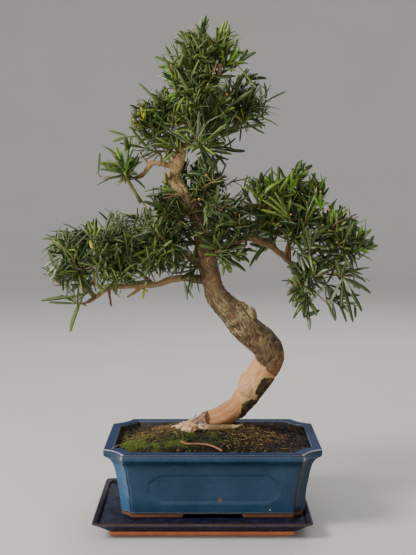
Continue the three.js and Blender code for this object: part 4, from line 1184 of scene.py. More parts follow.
class BONSAI_OT_trunk(bpy.types.Operator):
    """Models the trunk: smooth peeled wood below, flaking bark above, knots, scars and roots"""

    bl_idname = "bonsai.trunk"
    bl_label = "Trunk"

    def execute(self, context):
        limbs = context.scene.bonsai_limbs
        parts = [tube(trunk, sides=40, spacing=2.5, relief=flare_relief)]
        parts += [tube(Limb(points), sides=16, spacing=1.5) for points in TRUNK_LIMBS + SURFACE_ROOTS]
        parts += [ball(*knot) for knot in KNOTS]
        piece = skin("trunk_bark", parts, limbs.grain, smooth=4)
        points, normals = mesh_points(piece)
        depth = limbs.bark_depth / MM
        height, shown, tone, grain, station, along = bark_relief(points, [trunk], plate=6.0, depth=depth)
        jag = layers(points / (8, 8, 12), 51, 3) - 0.5
        limit = PEELED_UP_TO - 0.3 * normals[:, 0] + 0.35 * jag
        low = 1 - smooth_step(station - limit, -0.05, 0.05)
        side = normals @ unit(np.array(BARK_SIDE))
        inside = np.minimum(1.04 - nearness(points, BARK_PATCHES), 0.9 * side - 0.02) + 0.42 * jag
        dark = smooth_step(inside, 0.0, 0.04) * low
        rim = smooth_step(inside, -0.09, -0.03) * (1 - smooth_step(inside, 0.0, 0.03)) * low
        peeled = low * (1 - dark)
        upper, elbow = (smooth_step(station, *begin) * (1 - smooth_step(station + jag, *end))
                        for begin, end in (SMOOTH_BARK, ELBOW_BARK))
        elbow = elbow * smooth_step(normals[:, 0] + jag, 0.1, 0.6) * (1 - peeled)
        calm = np.maximum(np.maximum(peeled, 0.5 * upper), 0.75 * elbow)
        flaky = np.max([share * (1 - smooth_step(nearness(points, [place]) + 0.8 * jag, 0.7, 1.0))
                        for *place, share in FLAKY], 0)
        knees = layers(points / (15, 15, 11), 61, 2) - 0.5
        folded = np.maximum(elbow, 0.3 * smooth_step(station, 4.6, 6.0) * low)
        folds = np.sin(along / 1.5 + 6 * knees) * folded
        ground = smooth_step(-points[:, 2], -137, -130) * smooth_step(-points[:, 0], -16, 2)
        gnarl = layers(points / 4.6, 71, 2) - 0.5
        soft = 1.5 * knees + 0.15 * (grain - 0.5) + 0.4 * folds + ground * gnarl * 4.6
        height = height * (1 + 0.9 * flaky) * (1 - calm)
        points += normals * (height + soft * np.maximum(calm, 0.2))[:, None]
        move_points(piece, points)
        apart = nearness(points, SCARS) + 0.9 * jag
        ring = smooth_step(apart, 0.95, 1.08) * (1 - smooth_step(apart, 1.15, 1.4)) * (1 - peeled)
        front = smooth_step(-points[:, 1], -1.5, 1.5) * smooth_step(points[:, 0], -2, 6)
        paint_masks(
            piece, flaky=flaky, streak=grain, plate=tone * (1 - 0.7 * dark),
            relief=shown * (1 - 0.35 * dark) + ground * gnarl * 1.6,
            peeled=np.maximum(peeled, 0.12 * upper),
            cut_root=front * smooth_step(-points[:, 2], -138, -135),
            rim=np.maximum(rim, 0.14 * ring),
            scar=np.maximum(0.8 * (1 - smooth_step(apart, 0.75, 1.0)), 0.55 * elbow * (0.6 + grain)),
            root=ground * (0.8 + 0.4 * gnarl))
        finish(piece, bark_material(limbs, "Trunk bark", BARK_TINTS_AND_LIGHT), "bark", "trunk")
        return {"FINISHED"}


class BONSAI_OT_boughs(bpy.types.Operator):
    """Models the boughs, with thinner bark than the trunk's"""

    bl_idname = "bonsai.boughs"
    bl_label = "Boughs"

    def execute(self, context):
        limbs = context.scene.bonsai_limbs
        stubs = [Limb(points) for points in STUBS]
        parts = [tube(limb, sides=18, spacing=1.2) for limb in boughs.values()]
        parts += [tube(limb, sides=12, spacing=1.0) for limb in stubs]
        piece = skin("bough_bark", parts, 0.74 * limbs.grain, smooth=2)
        points, normals = mesh_points(piece)
        depth = 0.45 * limbs.bark_depth / MM
        wood = [*boughs.values(), *stubs]
        height, shown, tone, grain, _, _ = bark_relief(points, wood, plate=2.8, depth=depth)
        lump = layers(points / 8.5, 81, 2) - 0.5
        points += normals * (height + 1.3 * lump)[:, None]
        move_points(piece, points)
        x, _, z = points.T
        left = smooth_step(-x, 15, 50) * smooth_step(-z, -352, -345)
        spur = smooth_step(-np.abs(x + 130), -4.5, -2.5) * smooth_step(-z, -325, -321)
        pink = smooth_step(x, 55, 70) * smooth_step(-z, -401, -398)
        paint_masks(piece, relief=shown, plate=tone, streak=grain,
                    peeled=left * 0.2 * cloud_value(points / 12, 83),
                    scar=spur + 0.35 * pink * cloud_value(points / 6, 85))
        finish(piece, bark_material(limbs, "Bough bark", BOUGH_TINTS_AND_LIGHT), "bark", *BOUGHS)
        return {"FINISHED"}


def seeded_random(seed):
    """The same small random number generator as the solids use, from 0 to 1."""
    state = seed & 0xFFFFFFFF

    def draw():
        nonlocal state
        state = (state + 0x6D2B79F5) & 0xFFFFFFFF
        mixed = ((state ^ (state >> 15)) * (1 | state)) & 0xFFFFFFFF
        mixed = ((mixed + ((mixed ^ (mixed >> 7)) * (61 | mixed))) & 0xFFFFFFFF) ^ mixed
        return ((mixed ^ (mixed >> 14)) & 0xFFFFFFFF) / 4294967296

    return draw


class Mass:
    """A foliage mass: where its stem starts, its centre, and how far it reaches."""

    def __init__(self, index):
        self.name, self.source, centre, reach = MASSES[index]
        self.seed = 1000 + 17 * index
        self.centre, self.reach = np.array(centre, float), np.array(reach, float)
        self.weight = (sum(reach) / 3) ** 2

    def share(self, points):
        """How far out points lie: 1 is the edge of the reach."""
        return np.linalg.norm((points - self.centre) / self.reach, axis=-1)

    def spare(self, point):
        """How far inside the mass's ragged outline a point lies."""
        away = (point - self.centre) / self.reach
        out = np.linalg.norm(away)
        lump = cloud_value(unit(away)[None] * RAGGED["lumps"] + self.seed, 7)[0]
        return RAGGED["least"] + (RAGGED["most"] - RAGGED["least"]) * lump - out


masses = [Mass(i) for i in range(len(MASSES))]
# Places along the limbs, 3 mm apart, that twigs and leaves keep clear of.
LIMBS = [trunk, *boughs.values(), *[Limb(points) for points in TRUNK_LIMBS]]
LIMB_SHARES = [limb.even_shares(3)[0] for limb in LIMBS]
LIMB_PLACES = np.vstack([limb.at(shares) for limb, shares in zip(LIMBS, LIMB_SHARES)])
LIMB_RADII = np.concatenate([limb.radius(shares) for limb, shares in zip(LIMBS, LIMB_SHARES)])


def in_own_cell(mass, point, radius):
    """Whether a ball keeps to its mass's side of the planes that divide the masses."""
    own = np.sum((point - mass.centre) ** 2) - mass.weight
    for other in masses:
        if other is mass:
            continue
        apart = np.linalg.norm(mass.centre - other.centre)
        theirs = np.sum((point - other.centre) ** 2) - other.weight
        if (theirs - own) / (2 * apart) <= radius + GROWTH["cell_clear"]:
            return False
    return True


def clear_of_limbs(points, radius):
    """Whether each point is clear of the trunk and the boughs."""
    apart = np.linalg.norm(points[..., None, :] - LIMB_PLACES, axis=-1)
    return np.all(apart > LIMB_RADII + radius + GROWTH["limb_clear"], axis=-1)


def stroke_fits(mass, start, end, radius):
    places = start + np.array([0.2, 0.4, 0.6, 0.8, 1.0])[:, None] * (end - start)
    return (np.all(clear_of_limbs(places, radius)) and in_own_cell(mass, end, radius)
            and in_own_cell(mass, start, radius) and mass.share(end) < 1)


def grow_twigs(mass):
    """The stem and twigs of a mass, by the rule that its solid grew by."""
    rule = GROWTH
    random = seeded_random(mass.seed)
    if isinstance(mass.source, str):
        limb = trunk if mass.source == "trunk" else boughs[mass.source]
        start, way, lead = limb.at(1.0), limb.tangent(1.0), rule["stem_start"]
    else:
        share = mass.source / trunk.spans
        start = trunk.at(share)
        way, lead = unit(mass.centre - start), trunk.radius(share) + rule["stem_start"]
    first = start + way * lead
    hub = first + (mass.centre - first) * rule["hub_share"]
    knots = [(first, lead), (hub, lead + np.linalg.norm(hub - first))]
    strokes = [(start, first, 2.3, 2.3), (first, hub, 2.3, 2.0)]
    tufts = [(hub, unit(hub - first), first)]
    goals = []
    for _ in range(rule["tufts"]):
        best, widest = None, rule["tuft_spacing"]
        for _ in range(rule["tuft_tries"]):
            toward = unit(np.array([random() - 0.5, random() - 0.5, random() - 0.45]))
            out = rule["tuft_inner"] + (rule["tuft_outer"] - rule["tuft_inner"]) * random() ** 0.5
            goal = toward * out * mass.reach + mass.centre
            if not in_own_cell(mass, goal, rule["tuft_clear"]):
                continue
            if not clear_of_limbs(goal, rule["tuft_clear"]):
                continue
            gap = min(np.linalg.norm(goal - other) for other in [hub, *goals])
            if gap > widest:
                best, widest = goal, gap
        if best is not None:
            goals.append(best)
    for goal in sorted(goals, key=lambda g: np.linalg.norm(g - hub)):
        knot, path = min(knots, key=lambda k: np.linalg.norm(k[0] - goal) + rule["path_weight"] * k[1])
        length = np.linalg.norm(goal - knot)
        if length < rule["shortest_twig"] or not stroke_fits(mass, knot, goal, rule["twig_radius"]):
            continue
        strokes.append((knot, goal, 1.9, 1.2))
        knots.append((goal, path + length))
        tufts.append((goal, unit(goal - knot), knot))
    return strokes, tufts


LEAF_COLOURS = {
    "deep": paint(66, 84, 44), "dark": paint(84, 104, 52), "mid": paint(104, 126, 60),
    "fresh": paint(128, 150, 62), "bright": paint(122, 168, 54), "grey": paint(148, 162, 130),
    "young": paint(192, 196, 60),
}
LEAF_KINDS = list(LEAF_COLOURS)
# How each part of the tree grows: leaf length and width shares, droop, outward arch of the leaves, upward
# pull and scatter of the shoots, shares of shoots round a twig's end and of leaves on a shoot, share of
# clipped shoots, weights of the leaf kinds.
Habit = namedtuple("Habit", "length width droop arch lift scatter shoots leaves clipped kinds")
HABITS = {
    "top": Habit(0.98, 0.73, 0.06, 0.13, 0.95, 0.85, 1.0, 0.85, 0.12, (10, 26, 30, 18, 5, 9, 0.6)),
    # The centre's leaves lean to the deep and dark colours, as painted shade within the crown.
    "centre": Habit(0.86, 0.82, 0.1, 0.1, 0.5, 0.95, 0.7, 0.9, 0.1, (46, 38, 12, 2, 0, 3, 0)),
    "left": Habit(0.94, 0.64, 0.3, 0.28, 0.62, 0.9, 1.15, 1.1, 0.16, (19, 32, 26, 7, 2, 13, 1)),
    "right": Habit(1.0, 0.92, 0.05, 0.06, 1.0, 0.75, 0.95, 0.9, 0.42, (16, 32, 26, 13, 7, 5, 0.6)),
    "tuft": Habit(0.9, 0.95, 0.1, 0.2, 0.9, 0.9, 0.15, 0.6, 0.0, (10, 26, 30, 14, 4, 14, 0)),
    "low": Habit(1.05, 0.92, 0.16, 0.12, 0.1, 1.0, 0.42, 0.8, 0.25, (20, 36, 24, 8, 3, 8, 0.5)),
}
# A mass's outline: its least and most share of the reach, and how finely it lumps.
RAGGED = {"least": 0.8, "most": 1.3, "lumps": 2.6}
# Places open to the sky, seen from the front: middle x, z and reach x, z, mm.
OPEN_SPACES = [
    (60, 328, 30, 34), (169, 300, 11, 30), (-84, 606, 24, 24), (50, 498, 24, 16), (-80, 490, 17, 12),
    (112, 300, 12, 24), (100, 352, 12, 16), (-130, 560, 30, 30), (-230, 424, 26, 32), (-236, 362, 21, 46),
    (-112, 540, 14, 12), (-210, 320, 18, 14), (-102, 590, 17, 15), (190, 462, 20, 15), (68, 530, 22, 13),
    (-84, 640, 20, 24), (12, 690, 7, 22), (42, 485, 12, 28), (70, 452, 12, 12),
]
# Places with few shoots: middle x, z, reach x, z and the share of shoots left out.
SPARSE_SPACES = [
    (46, 472, 30, 34, 0.7), (86, 574, 26, 34, 0.5), (12, 500, 26, 20, 0.4), (176, 456, 26, 24, 0.5),
    (-190, 332, 34, 16, 0.5), (200, 350, 50, 60, 0.25),
]
# Stretches of the trunk that show: (from station, to station, clear to each side), mm.
BARE_TRUNK = [(12.3, 13.3, 7), (13.3, 15.0, 2.5), (15.0, 18.4, 8)]
# Twigs and stubs that show among the leaves: x, z and how far to each side is clear, mm.
BARE_TWIGS = [
    (23, 630, 7), (24, 622, 5), (-18, 648, 4), (-11, 638, 4), (-4, 626, 3), (30, 546, 4), (42, 549, 4),
    (-12, 552, 4), (-8, 542, 5), (10, 556, 3), (-156, 362, 4), (-154, 352, 4), (-151, 341, 4),
    (-146, 330, 4), (40, 384, 4), (52, 391, 4), (67, 397, 5), (82, 391, 4), (-66, 334, 5),
]
# Leaves behind this y don't hide the trunk, mm.
TRUNK_FRONT = 12
TO_FRONT = np.array([0.0, -0.8, 0.5])
DOWN = np.array([0.0, 0.0, -1.0])
BARE_PLACES = np.vstack([
    np.column_stack([trunk.at(np.linspace(low, high, 25) / trunk.spans)[:, ::2], np.full(25, beside)])
    for low, high, beside in BARE_TRUNK] + [BARE_TWIGS])


def habit_of(mass):
    x, _, z = mass.centre
    if z > 480:
        return HABITS["top" if x > -90 else "tuft"]
    if x > 60:
        return HABITS["low" if z < 350 else "right"]
    return HABITS["left" if x < -50 else "centre"]


def hides_trunk(point):
    """Whether a leaf here would stand in front of the part of the trunk that shows."""
    if point[1] > TRUNK_FRONT:
        return False
    away = np.hypot(BARE_PLACES[:, 0] - point[0], BARE_PLACES[:, 1] - point[2])
    return np.any(away < BARE_PLACES[:, 2])


def in_open_space(point):
    """Whether a place lies where the sky shows between the masses."""
    return any(math.hypot((point[0] - x) / rx, (point[2] - z) / rz) < 1 for x, z, rx, rz in OPEN_SPACES)


def share_left_out(point):
    """The share of shoots that aren't grown about a place, seen from the front."""
    return max([share for x, z, rx, rz, share in SPARSE_SPACES
                if math.hypot((point[0] - x) / rx, (point[2] - z) / rz) < 1], default=0)


class Canopy:
    """What grows on the twigs: leaves by kind, shoots, and the ends of clipped shoots."""

    def __init__(self, foliage):
        self.length, self.width = foliage.leaf_length / MM, foliage.leaf_width / MM
        self.most_shoots, self.most_leaves = foliage.shoots, foliage.leaves
        self.leaves = {kind: [] for kind in LEAF_KINDS}
        self.shoots, self.clipped = [], []

    def add_leaf(self, kind, root, way, face, length, width, bend):
        """A leaf: where it starts, its way, upper side, size and bend."""
        self.leaves[kind].append(np.concatenate([root, way, face, [length, width], bend]))


def chance_kind(habit, random):
    weights = np.array(habit.kinds) / sum(habit.kinds)
    return LEAF_KINDS[random.choice(len(LEAF_KINDS), p=weights)]


def grow_shoots(mass, tufts, canopy, random):
    """Finer twigs along each twig's outer part, and the spray of leaves on each."""
    habit = habit_of(mass)
    for end, way, start in tufts:
        length = np.linalg.norm(end - start)
        for n in range(round(canopy.most_shoots * habit.shoots)):
            for _ in range(10):
                back = 0 if n == 0 else random.uniform(0, min(0.9 * length, 38))
                root = end - way * back
                outward = unit(root - mass.centre)
                spread = chance_ways(random, 1)[0] * (0.3 if n == 0 else habit.scatter)
                aim = unit(0.5 * way + 0.5 * outward - habit.lift * DOWN + spread)
                reach = random.uniform(12, 36)
                tip = root + aim * reach
                if (mass.spare(tip) > 0.16 and clear_of_limbs(tip, 2) and tip[2] > LOWEST_SHOOT
                        and not hides_trunk(tip) and not in_open_space(tip)):
                    break
            else:
                continue
            if random.random() < share_left_out(tip):
                continue
            canopy.shoots.append((root, tip, 1.05, 0.6))
            kind = chance_kind(habit, random)
            # Painted shade: shoots deep inside a mass often take the darkest leaf colour.
            if mass.share(tip) < 0.45 and random.random() < 0.5:
                kind = "deep"
            clipped = random.random() < habit.clipped
            if clipped:
                canopy.clipped.append((tip, aim))
            spray_leaves(mass, tip, aim, reach, kind, habit, clipped, canopy, random)


def grow_extra_shoots(canopy, random, reach=24):
    """Single shoots between and below the masses."""
    for name, shoots in EXTRA_SHOOTS.items():
        for shoot in shoots:
            tip, aim = np.array(shoot[:3], float), unit(np.array(shoot[3:], float))
            knee = tip - aim * reach
            foot = LIMB_PLACES[np.argmin(np.linalg.norm(LIMB_PLACES - knee, axis=1))]
            canopy.shoots += [(foot, knee, 1.3, 0.9), (knee, tip, 0.9, 0.6)]
            kind = chance_kind(HABITS[name], random)
            spray_leaves(None, tip, aim, reach, kind, HABITS[name], False, canopy, random)


def spray_leaves(mass, tip, aim, reach, kind, habit, clipped, canopy, random):
    """Leaves in a spiral back from a shoot's tip, closer to its way near the tip, all arching."""
    young = kind == "young"
    count = round(random.uniform(0.6, 1.05) * (canopy.most_leaves * habit.leaves))
    side = unit(np.cross(aim, chance_ways(random, 1)[0]))
    other = np.cross(aim, side)
    turn = random.uniform(0, 2 * math.pi)
    spread = random.uniform(0.6, 1.25)
    arch = habit.arch + random.uniform(-0.2, 0.2)
    for i in range(count):
        share = (i + 0.5) / count
        if clipped and share < 0.3:
            continue
        lean = math.radians(8 + 50 * share**0.8 * spread + random.uniform(-10, 16)) * (0.7 if young else 1)
        angle = turn + i * GOLDEN_ANGLE + random.uniform(-0.3, 0.3)
        spoke = side * math.cos(angle) + other * math.sin(angle)
        way = unit(aim * math.cos(lean) + spoke * math.sin(lean))
        root = tip - aim * min(reach * 0.92, 30) * share * (0.6 if young else 1)
        length = canopy.length * habit.length * random.uniform(0.62, 1.16)
        length *= (0.6 if young else 1) * (0.72 + 0.28 * math.sin(math.pi * min(share + 0.2, 1)))
        away = unit(spoke - way * spoke.dot(way))
        bend = away * (arch + random.uniform(-0.14, 0.2))
        bend = bend + (DOWN + way * way[2]) * habit.droop * random.uniform(0.1, 2.2)
        bend += np.cross(way, away) * random.uniform(-0.16, 0.16)
        end = root + (way + bend) * length
        if (mass and mass.spare(end) < 0) or not clear_of_limbs(end, 0.5):
            continue
        if hides_trunk(end) or hides_trunk((root + end) / 2) or in_open_space((root + 2 * end) / 3):
            continue
        width = canopy.width * habit.width * random.uniform(0.72, 1.18)
        face = aim + 0.65 * chance_ways(random, 1)[0]
        shade = LEAF_KINDS[random.integers(0, 4)] if random.random() < 0.16 else kind
        canopy.add_leaf(shade, root, way, unit(face), length, width * (0.75 if young else 1), bend)


# Shoots between the masses, by how they grow: x, y, z of the tip and its aim, mm.
EXTRA_SHOOTS = {
    "centre": [
        (-32, 6, 440, -0.7, 0, 0.6), (-36, -2, 424, -0.9, -0.3, 0.2), (-24, 8, 414, -0.8, 0, 0.4),
        (-32, 0, 402, -1, -0.2, 0.1), (-20, 0, 394, -0.6, -0.5, 0.5), (-38, 6, 384, -1, 0, 0.3),
        (-28, 12, 358, -0.8, 0, -0.5), (-40, 0, 366, -0.9, -0.3, -0.2), (-14, -2, 350, -0.6, -0.5, -0.6),
        (-46, 8, 410, -0.8, 0.2, 0.6), (20, 10, 470, 0.7, 0, 0.6), (16, 6, 448, 0.7, -0.5, 0.4),
        (26, 8, 430, 0.9, -0.2, 0.1), (36, 10, 416, 1, 0, 0), (30, 14, 404, 0.9, 0, -0.2),
        (46, 12, 432, 0.8, 0, 0.6), (4, 20, 470, 0.3, 0.3, 0.9), (16, -4, 514, 0.5, -0.4, -0.4),
        (30, 4, 520, 0.8, -0.2, -0.1), (4, -6, 508, 0, -0.5, -0.6), (6, 14, 490, 0.7, 0, 0.2),
        (-2, 16, 474, 0.8, 0, 0.5), (56, 6, 446, 0.6, 0, 0.8),
    ],
    "top": [
        (-50, 2, 532, -0.5, -0.2, 0.5), (-64, -2, 526, -0.8, -0.2, 0.3), (-74, 4, 538, -0.8, 0, 0.5),
        (-40, -8, 522, -0.3, -0.5, 0.2), (-80, 8, 522, -1, 0, 0.4), (-58, 10, 516, -0.6, 0, -0.2),
        (-84, 6, 548, -0.8, 0, 0.6), (-46, -12, 548, -0.4, -0.5, 0.4), (-70, -6, 552, -0.5, -0.3, 0.7),
        (-20, -14, 530, 0, -0.6, 0.1), (-32, 4, 636, -0.4, 0, 0.9), (-34, 8, 618, -0.6, 0, 0.7),
        (-40, 2, 612, -0.7, 0, 0.6), (-16, 0, 646, -0.2, 0, 0.9), (27, 6, 652, 0.2, 0, 0.9),
        (38, 2, 640, 0.6, 0, 0.7), (70, 6, 572, 0.8, 0, 0.5), (84, 10, 584, 0.8, 0, 0.6),
        (48, 0, 548, 0.6, -0.3, 0.2),
    ],
    "right": [
        (132, -6, 404, 0.2, -0.4, 0.7), (146, -10, 390, 0.3, -0.4, 0.5), (140, -4, 372, 0.3, -0.5, -0.2),
        (124, -8, 414, 0, -0.4, 0.8), (158, -10, 400, 0.4, -0.3, 0.6), (154, 0, 368, 0.5, -0.3, -0.4),
        (118, -4, 398, -0.2, -0.5, 0.5), (168, -4, 380, 0.6, -0.2, 0.1), (150, 6, 412, 0.2, -0.2, 0.9),
        (172, 0, 420, 0.4, -0.2, 0.8), (104, -8, 420, 0.2, -0.4, 0.6),
    ],
    "tuft": [
        (-114, 4, 502, -0.5, -0.1, 0.9), (-103, 2, 500, 0.5, -0.1, 0.9), (-119, 8, 488, -0.9, 0, 0.3),
        (-96, 8, 490, 0.8, 0, 0.5), (-110, -6, 498, 0, -0.6, 0.7), (-108, 6, 508, 0.1, 0, 1),
    ],
}
# Marked sprays that stand out in the tree's outline: (root, tips, kind, width share), mm.
MARKED_SPRAYS = [
    ((-184, 10, 314), [(-230, 12, 308)], "dark", 1.2),
    ((-180, 10, 304), [(-219, 12, 305), (-205, 16, 316)], "dark", 1.1),
    ((-173, 10, 304), [(-185, 10, 268)], "mid", 1.25),
    ((-192, -12, 374), [(-216, -20, 346), (-220, -16, 357), (-212, -22, 338), (-205, -20, 350)], "grey", 1.2),
    ((-182, -4, 392), [(-214, -6, 384), (-208, -8, 398), (-196, -8, 404), (-205, -10, 376)], "mid", 1.0),
    ((-150, -14, 396), [(-160, -18, 424), (-148, -20, 428), (-138, -18, 420), (-166, -18, 412)],
     "fresh", 1.0),
    ((-118, -16, 408), [(-120, -20, 440), (-108, -20, 436), (-130, -20, 428)], "grey", 1.2),
    ((-180, 2, 356), [(-206, 0, 341), (-196, -6, 334)], "grey", 1.15),
    ((-162, 4, 322), [(-182, 0, 342), (-170, -4, 350)], "grey", 1.1),
    ((-154, -18, 398), [(-152, -22, 384)], "young", 1.2),
    ((-83, 6, 324), [(-84, 2, 312), (-79, 2, 334), (-77, 4, 321)], "young", 0.9),
    ((-24, 4, 330), [(-14, 0, 313), (-22, -2, 310)], "grey", 0.8),
    ((20, -22, 374), [(62, -38, 390), (62, -42, 377), (58, -38, 353), (38, -38, 352)], "dark", 1.7),
    ((20, -22, 374), [(2, -30, 376)], "bright", 1.3),
    ((84, 2, 385), [(66, -6, 357)], "mid", 1.4),
    ((76, 4, 399), [(90, -2, 406), (103, -4, 400)], "grey", 1.2),
    ((142, -14, 311), [(116, -18, 344), (120, -18, 350), (127, -20, 353), (119, -18, 314), (131, -20, 295)],
     "fresh", 1.05),
    ((142, -14, 311), [(145, -20, 345), (148, -18, 272)], "grey", 1.25),
    ((152, -12, 310), [(172, -18, 334)], "grey", 1.2),
    ((195, -14, 341), [(209, -18, 281), (222, -14, 295), (192, -20, 302), (218, -18, 327), (234, -8, 320),
                       (236, -4, 357), (184, -18, 372), (202, -18, 374)], "dark", 1.3),
    ((195, -14, 341), [(178, -20, 308), (204, -24, 322)], "grey", 1.2),
    ((98, -8, 462), [(94, -16, 499), (84, -14, 490), (105, -14, 488), (89, -18, 480)], "bright", 1.15),
    ((121, -8, 462), [(123, -14, 493), (113, -12, 486), (134, -10, 490), (139, -8, 494)], "bright", 1.15),
    ((74, -8, 456), [(76, -12, 480), (66, -14, 474), (57, -12, 475), (84, -16, 478)], "mid", 1.2),
    ((162, -14, 440), [(163, -20, 462), (153, -20, 456), (171, -16, 452)], "bright", 1.25),
    ((117, -22, 426), [(80, -30, 452), (86, -32, 461), (97, -30, 464), (78, -28, 438)], "fresh", 1.0),
    ((148, -26, 390), [(147, -32, 416), (140, -32, 422), (158, -30, 414)], "dark", 1.4),
    ((0, 12, 674), [(-3, 10, 706), (-11, 6, 694), (5, 12, 697)], "grey", 1.1),
    ((20, 8, 656), [(31, 6, 698), (38, 4, 693), (24, 0, 684), (48, 2, 670)], "fresh", 1.05),
    ((-14, 8, 656), [(-40, 6, 684), (-28, 4, 688), (-33, -4, 668), (-20, 10, 690)], "mid", 1.0),
    ((-38, 6, 636), [(-68, 4, 648), (-54, 2, 666), (-62, -4, 632)], "mid", 1.0),
    ((50, 6, 638), [(77, 2, 657), (64, 4, 660)], "dark", 1.3),
    ((54, -4, 628), [(71, -8, 606)], "bright", 0.9),
    ((-60, 4, 582), [(-91, 0, 614), (-74, -6, 601), (-66, 4, 606)], "mid", 0.85),
    ((-108, 4, 538), [(-132, 2, 546), (-125, 0, 530)], "mid", 0.9),
    ((-86, 0, 560), [(-90, -4, 577), (-84, -4, 579), (-79, -6, 571)], "young", 1.1),
    ((57, -10, 557), [(42, -18, 567), (52, -20, 576), (66, -16, 566)], "young", 1.0),
    ((11, -20, 566), [(-18, -32, 604), (-6, -34, 608), (-26, -32, 590), (5, -32, 612)], "dark", 1.3),
    ((18, -20, 570), [(46, -32, 600), (72, -26, 602), (33, -34, 610), (27, -38, 592)], "dark", 1.4),
    ((0, -10, 520), [(20, -22, 488), (32, -22, 528), (43, -20, 520), (6, -22, 492)], "dark", 1.4),
    ((-109, 2, 488), [(-122, -4, 528), (-101, -4, 508)], "bright", 1.25),
    ((-108, 2, 494), [(-109, 0, 533), (-95, 0, 531), (-103, -4, 524)], "grey", 1.25),
    ((-110, 6, 486), [(-146, 4, 493), (-133, 0, 503), (-140, 10, 478), (-116, -4, 512)], "dark", 1.1),
    ((-106, 6, 488), [(-90, 0, 487), (-80, 2, 507), (-88, 8, 516), (-112, 12, 520)], "mid", 1.1),
]
# Twigs that carry a spray from afar: (start, end, radius), mm.
LONG_TWIGS = [((-86, 5, 446), (-109, 4, 486), 3.6), ((-60, 2, 372), (-84, 5, 448), 2.2),
              ((76, 4, 410), (97, -4, 458), 1.6), ((128, 2, 412), (122, -4, 460), 1.6),
              ((146, 4, 330), (142, -10, 312), 1.6), ((16, 10, 541), (58, -8, 555), 1.7),
              ((-36, 10, 534), (-84, 0, 556), 1.6), ((-62, 8, 544), (-108, 4, 538), 1.3),
              ((19, 14, 620), (50, 6, 638), 1.4), ((-8, 14, 610), (-38, 6, 636), 1.4),
              ((-184, 12, 330), (-180, 10, 304), 1.6), ((186, 8, 356), (195, -14, 341), 1.5)]


def marked_leaves(canopy, random):
    """The leaves of the marked sprays, each from its root to its own tip."""
    for start, end, radius in LONG_TWIGS:
        canopy.shoots.append((np.array(start, float), np.array(end, float), radius, 0.65 * radius))
    for root, tips, kind, wide in MARKED_SPRAYS:
        root = np.array(root, float)
        middle = unit(np.mean(tips, 0) - root)
        canopy.shoots.append((root - middle * 16, root, 1.2, 0.8))
        for tip in tips:
            start = root - middle * random.uniform(0, 8)
            way = np.array(tip, float) - start
            length = np.linalg.norm(way)
            way = way / length
            face = TO_FRONT + 0.45 * chance_ways(random, 1)[0]
            bend = DOWN * random.uniform(0.02, 0.2)
            bend += np.cross(way, TO_FRONT) * random.uniform(-0.16, 0.16)
            width = canopy.width * wide * random.uniform(0.66, 0.86)
            canopy.add_leaf(kind, start, unit(way - bend), unit(face), length, width, bend)


# A leaf's outline: (share of its length, share of its width), from its stalk to its tip.
LEAF_OUTLINE = [(0.0, 0.2), (0.14, 0.64), (0.42, 1.0), (0.74, 0.97), (0.93, 0.66)]


def leaf_meshes(rows):
    """A closed blade for each leaf: a keeled strip that widens, bends and ends in a point."""
    rows = np.array(rows)
    root, way, face, bend = rows[:, 0:3], rows[:, 3:6], rows[:, 6:9], rows[:, 11:14]
    length, width = rows[:, 9:10], rows[:, 10:11]
    up = unit(face - way * np.sum(face * way, 1, keepdims=True))
    across = np.cross(way, up)
    blades = []
    for t, wide in LEAF_OUTLINE:
        centre = root + way * length * t + bend * length * t * t
        normal = unit(np.cross(across, unit(way + 2 * t * bend)))
        half = width * wide / 2
        thick = 0.22 + 0.25 * (1 - t)
        left = centre - across * half + normal * half * 0.22
        right = centre + across * half + normal * half * 0.22
        blades.append(np.stack([left, centre + normal * thick * 0.4, right, centre - normal * thick], 1))
    points = np.concatenate([*blades, (root + way * length + bend * length)[:, None]], 1)
    faces = []
    for ring in range(4):
        for k in range(4):
            here, after = 4 * ring + k, 4 * ring + (k + 1) % 4
            faces += [(here, here + 4, after + 4), (here, after + 4, after)]
    faces += [(16 + k, 20, 16 + (k + 1) % 4) for k in range(4)]
    return repeated(points, faces + [(0, 1, 2), (0, 2, 3)])


def closed_tubes(rings, start, end, sides):
    """Many thin tubes as one mesh's arrays, each closed at its start and end."""
    points = np.concatenate([*rings, start[:, None], end[:, None]], 1)
    return repeated(points, tube_faces(len(rings), sides))


def twig_meshes(strokes, random, sides=4, spans=3):
    """Thin tubes that sway a little between their ends."""
    start, end, thick, thin = (np.array([stroke[k] for stroke in strokes]) for k in range(4))
    frames = axes_about(end - start, chance_ways(random, len(strokes)))
    length = np.linalg.norm(end - start, axis=1, keepdims=True)
    sway = frames[:, :, 0] * length * random.uniform(-0.07, 0.07, (len(strokes), 1))
    round_about = spokes(frames[:, :, 0], frames[:, :, 1], sides)
    rings = []
    for t in np.arange(spans + 1) / spans:
        centre = start + (end - start) * t + sway * math.sin(math.pi * t)
        radius = (thick + (thin - thick) * t) * (1 + random.uniform(-0.14, 0.14, len(strokes)))
        rings.append(centre[:, None] + round_about * radius[:, None, None])
    return closed_tubes(rings, start, end, sides)


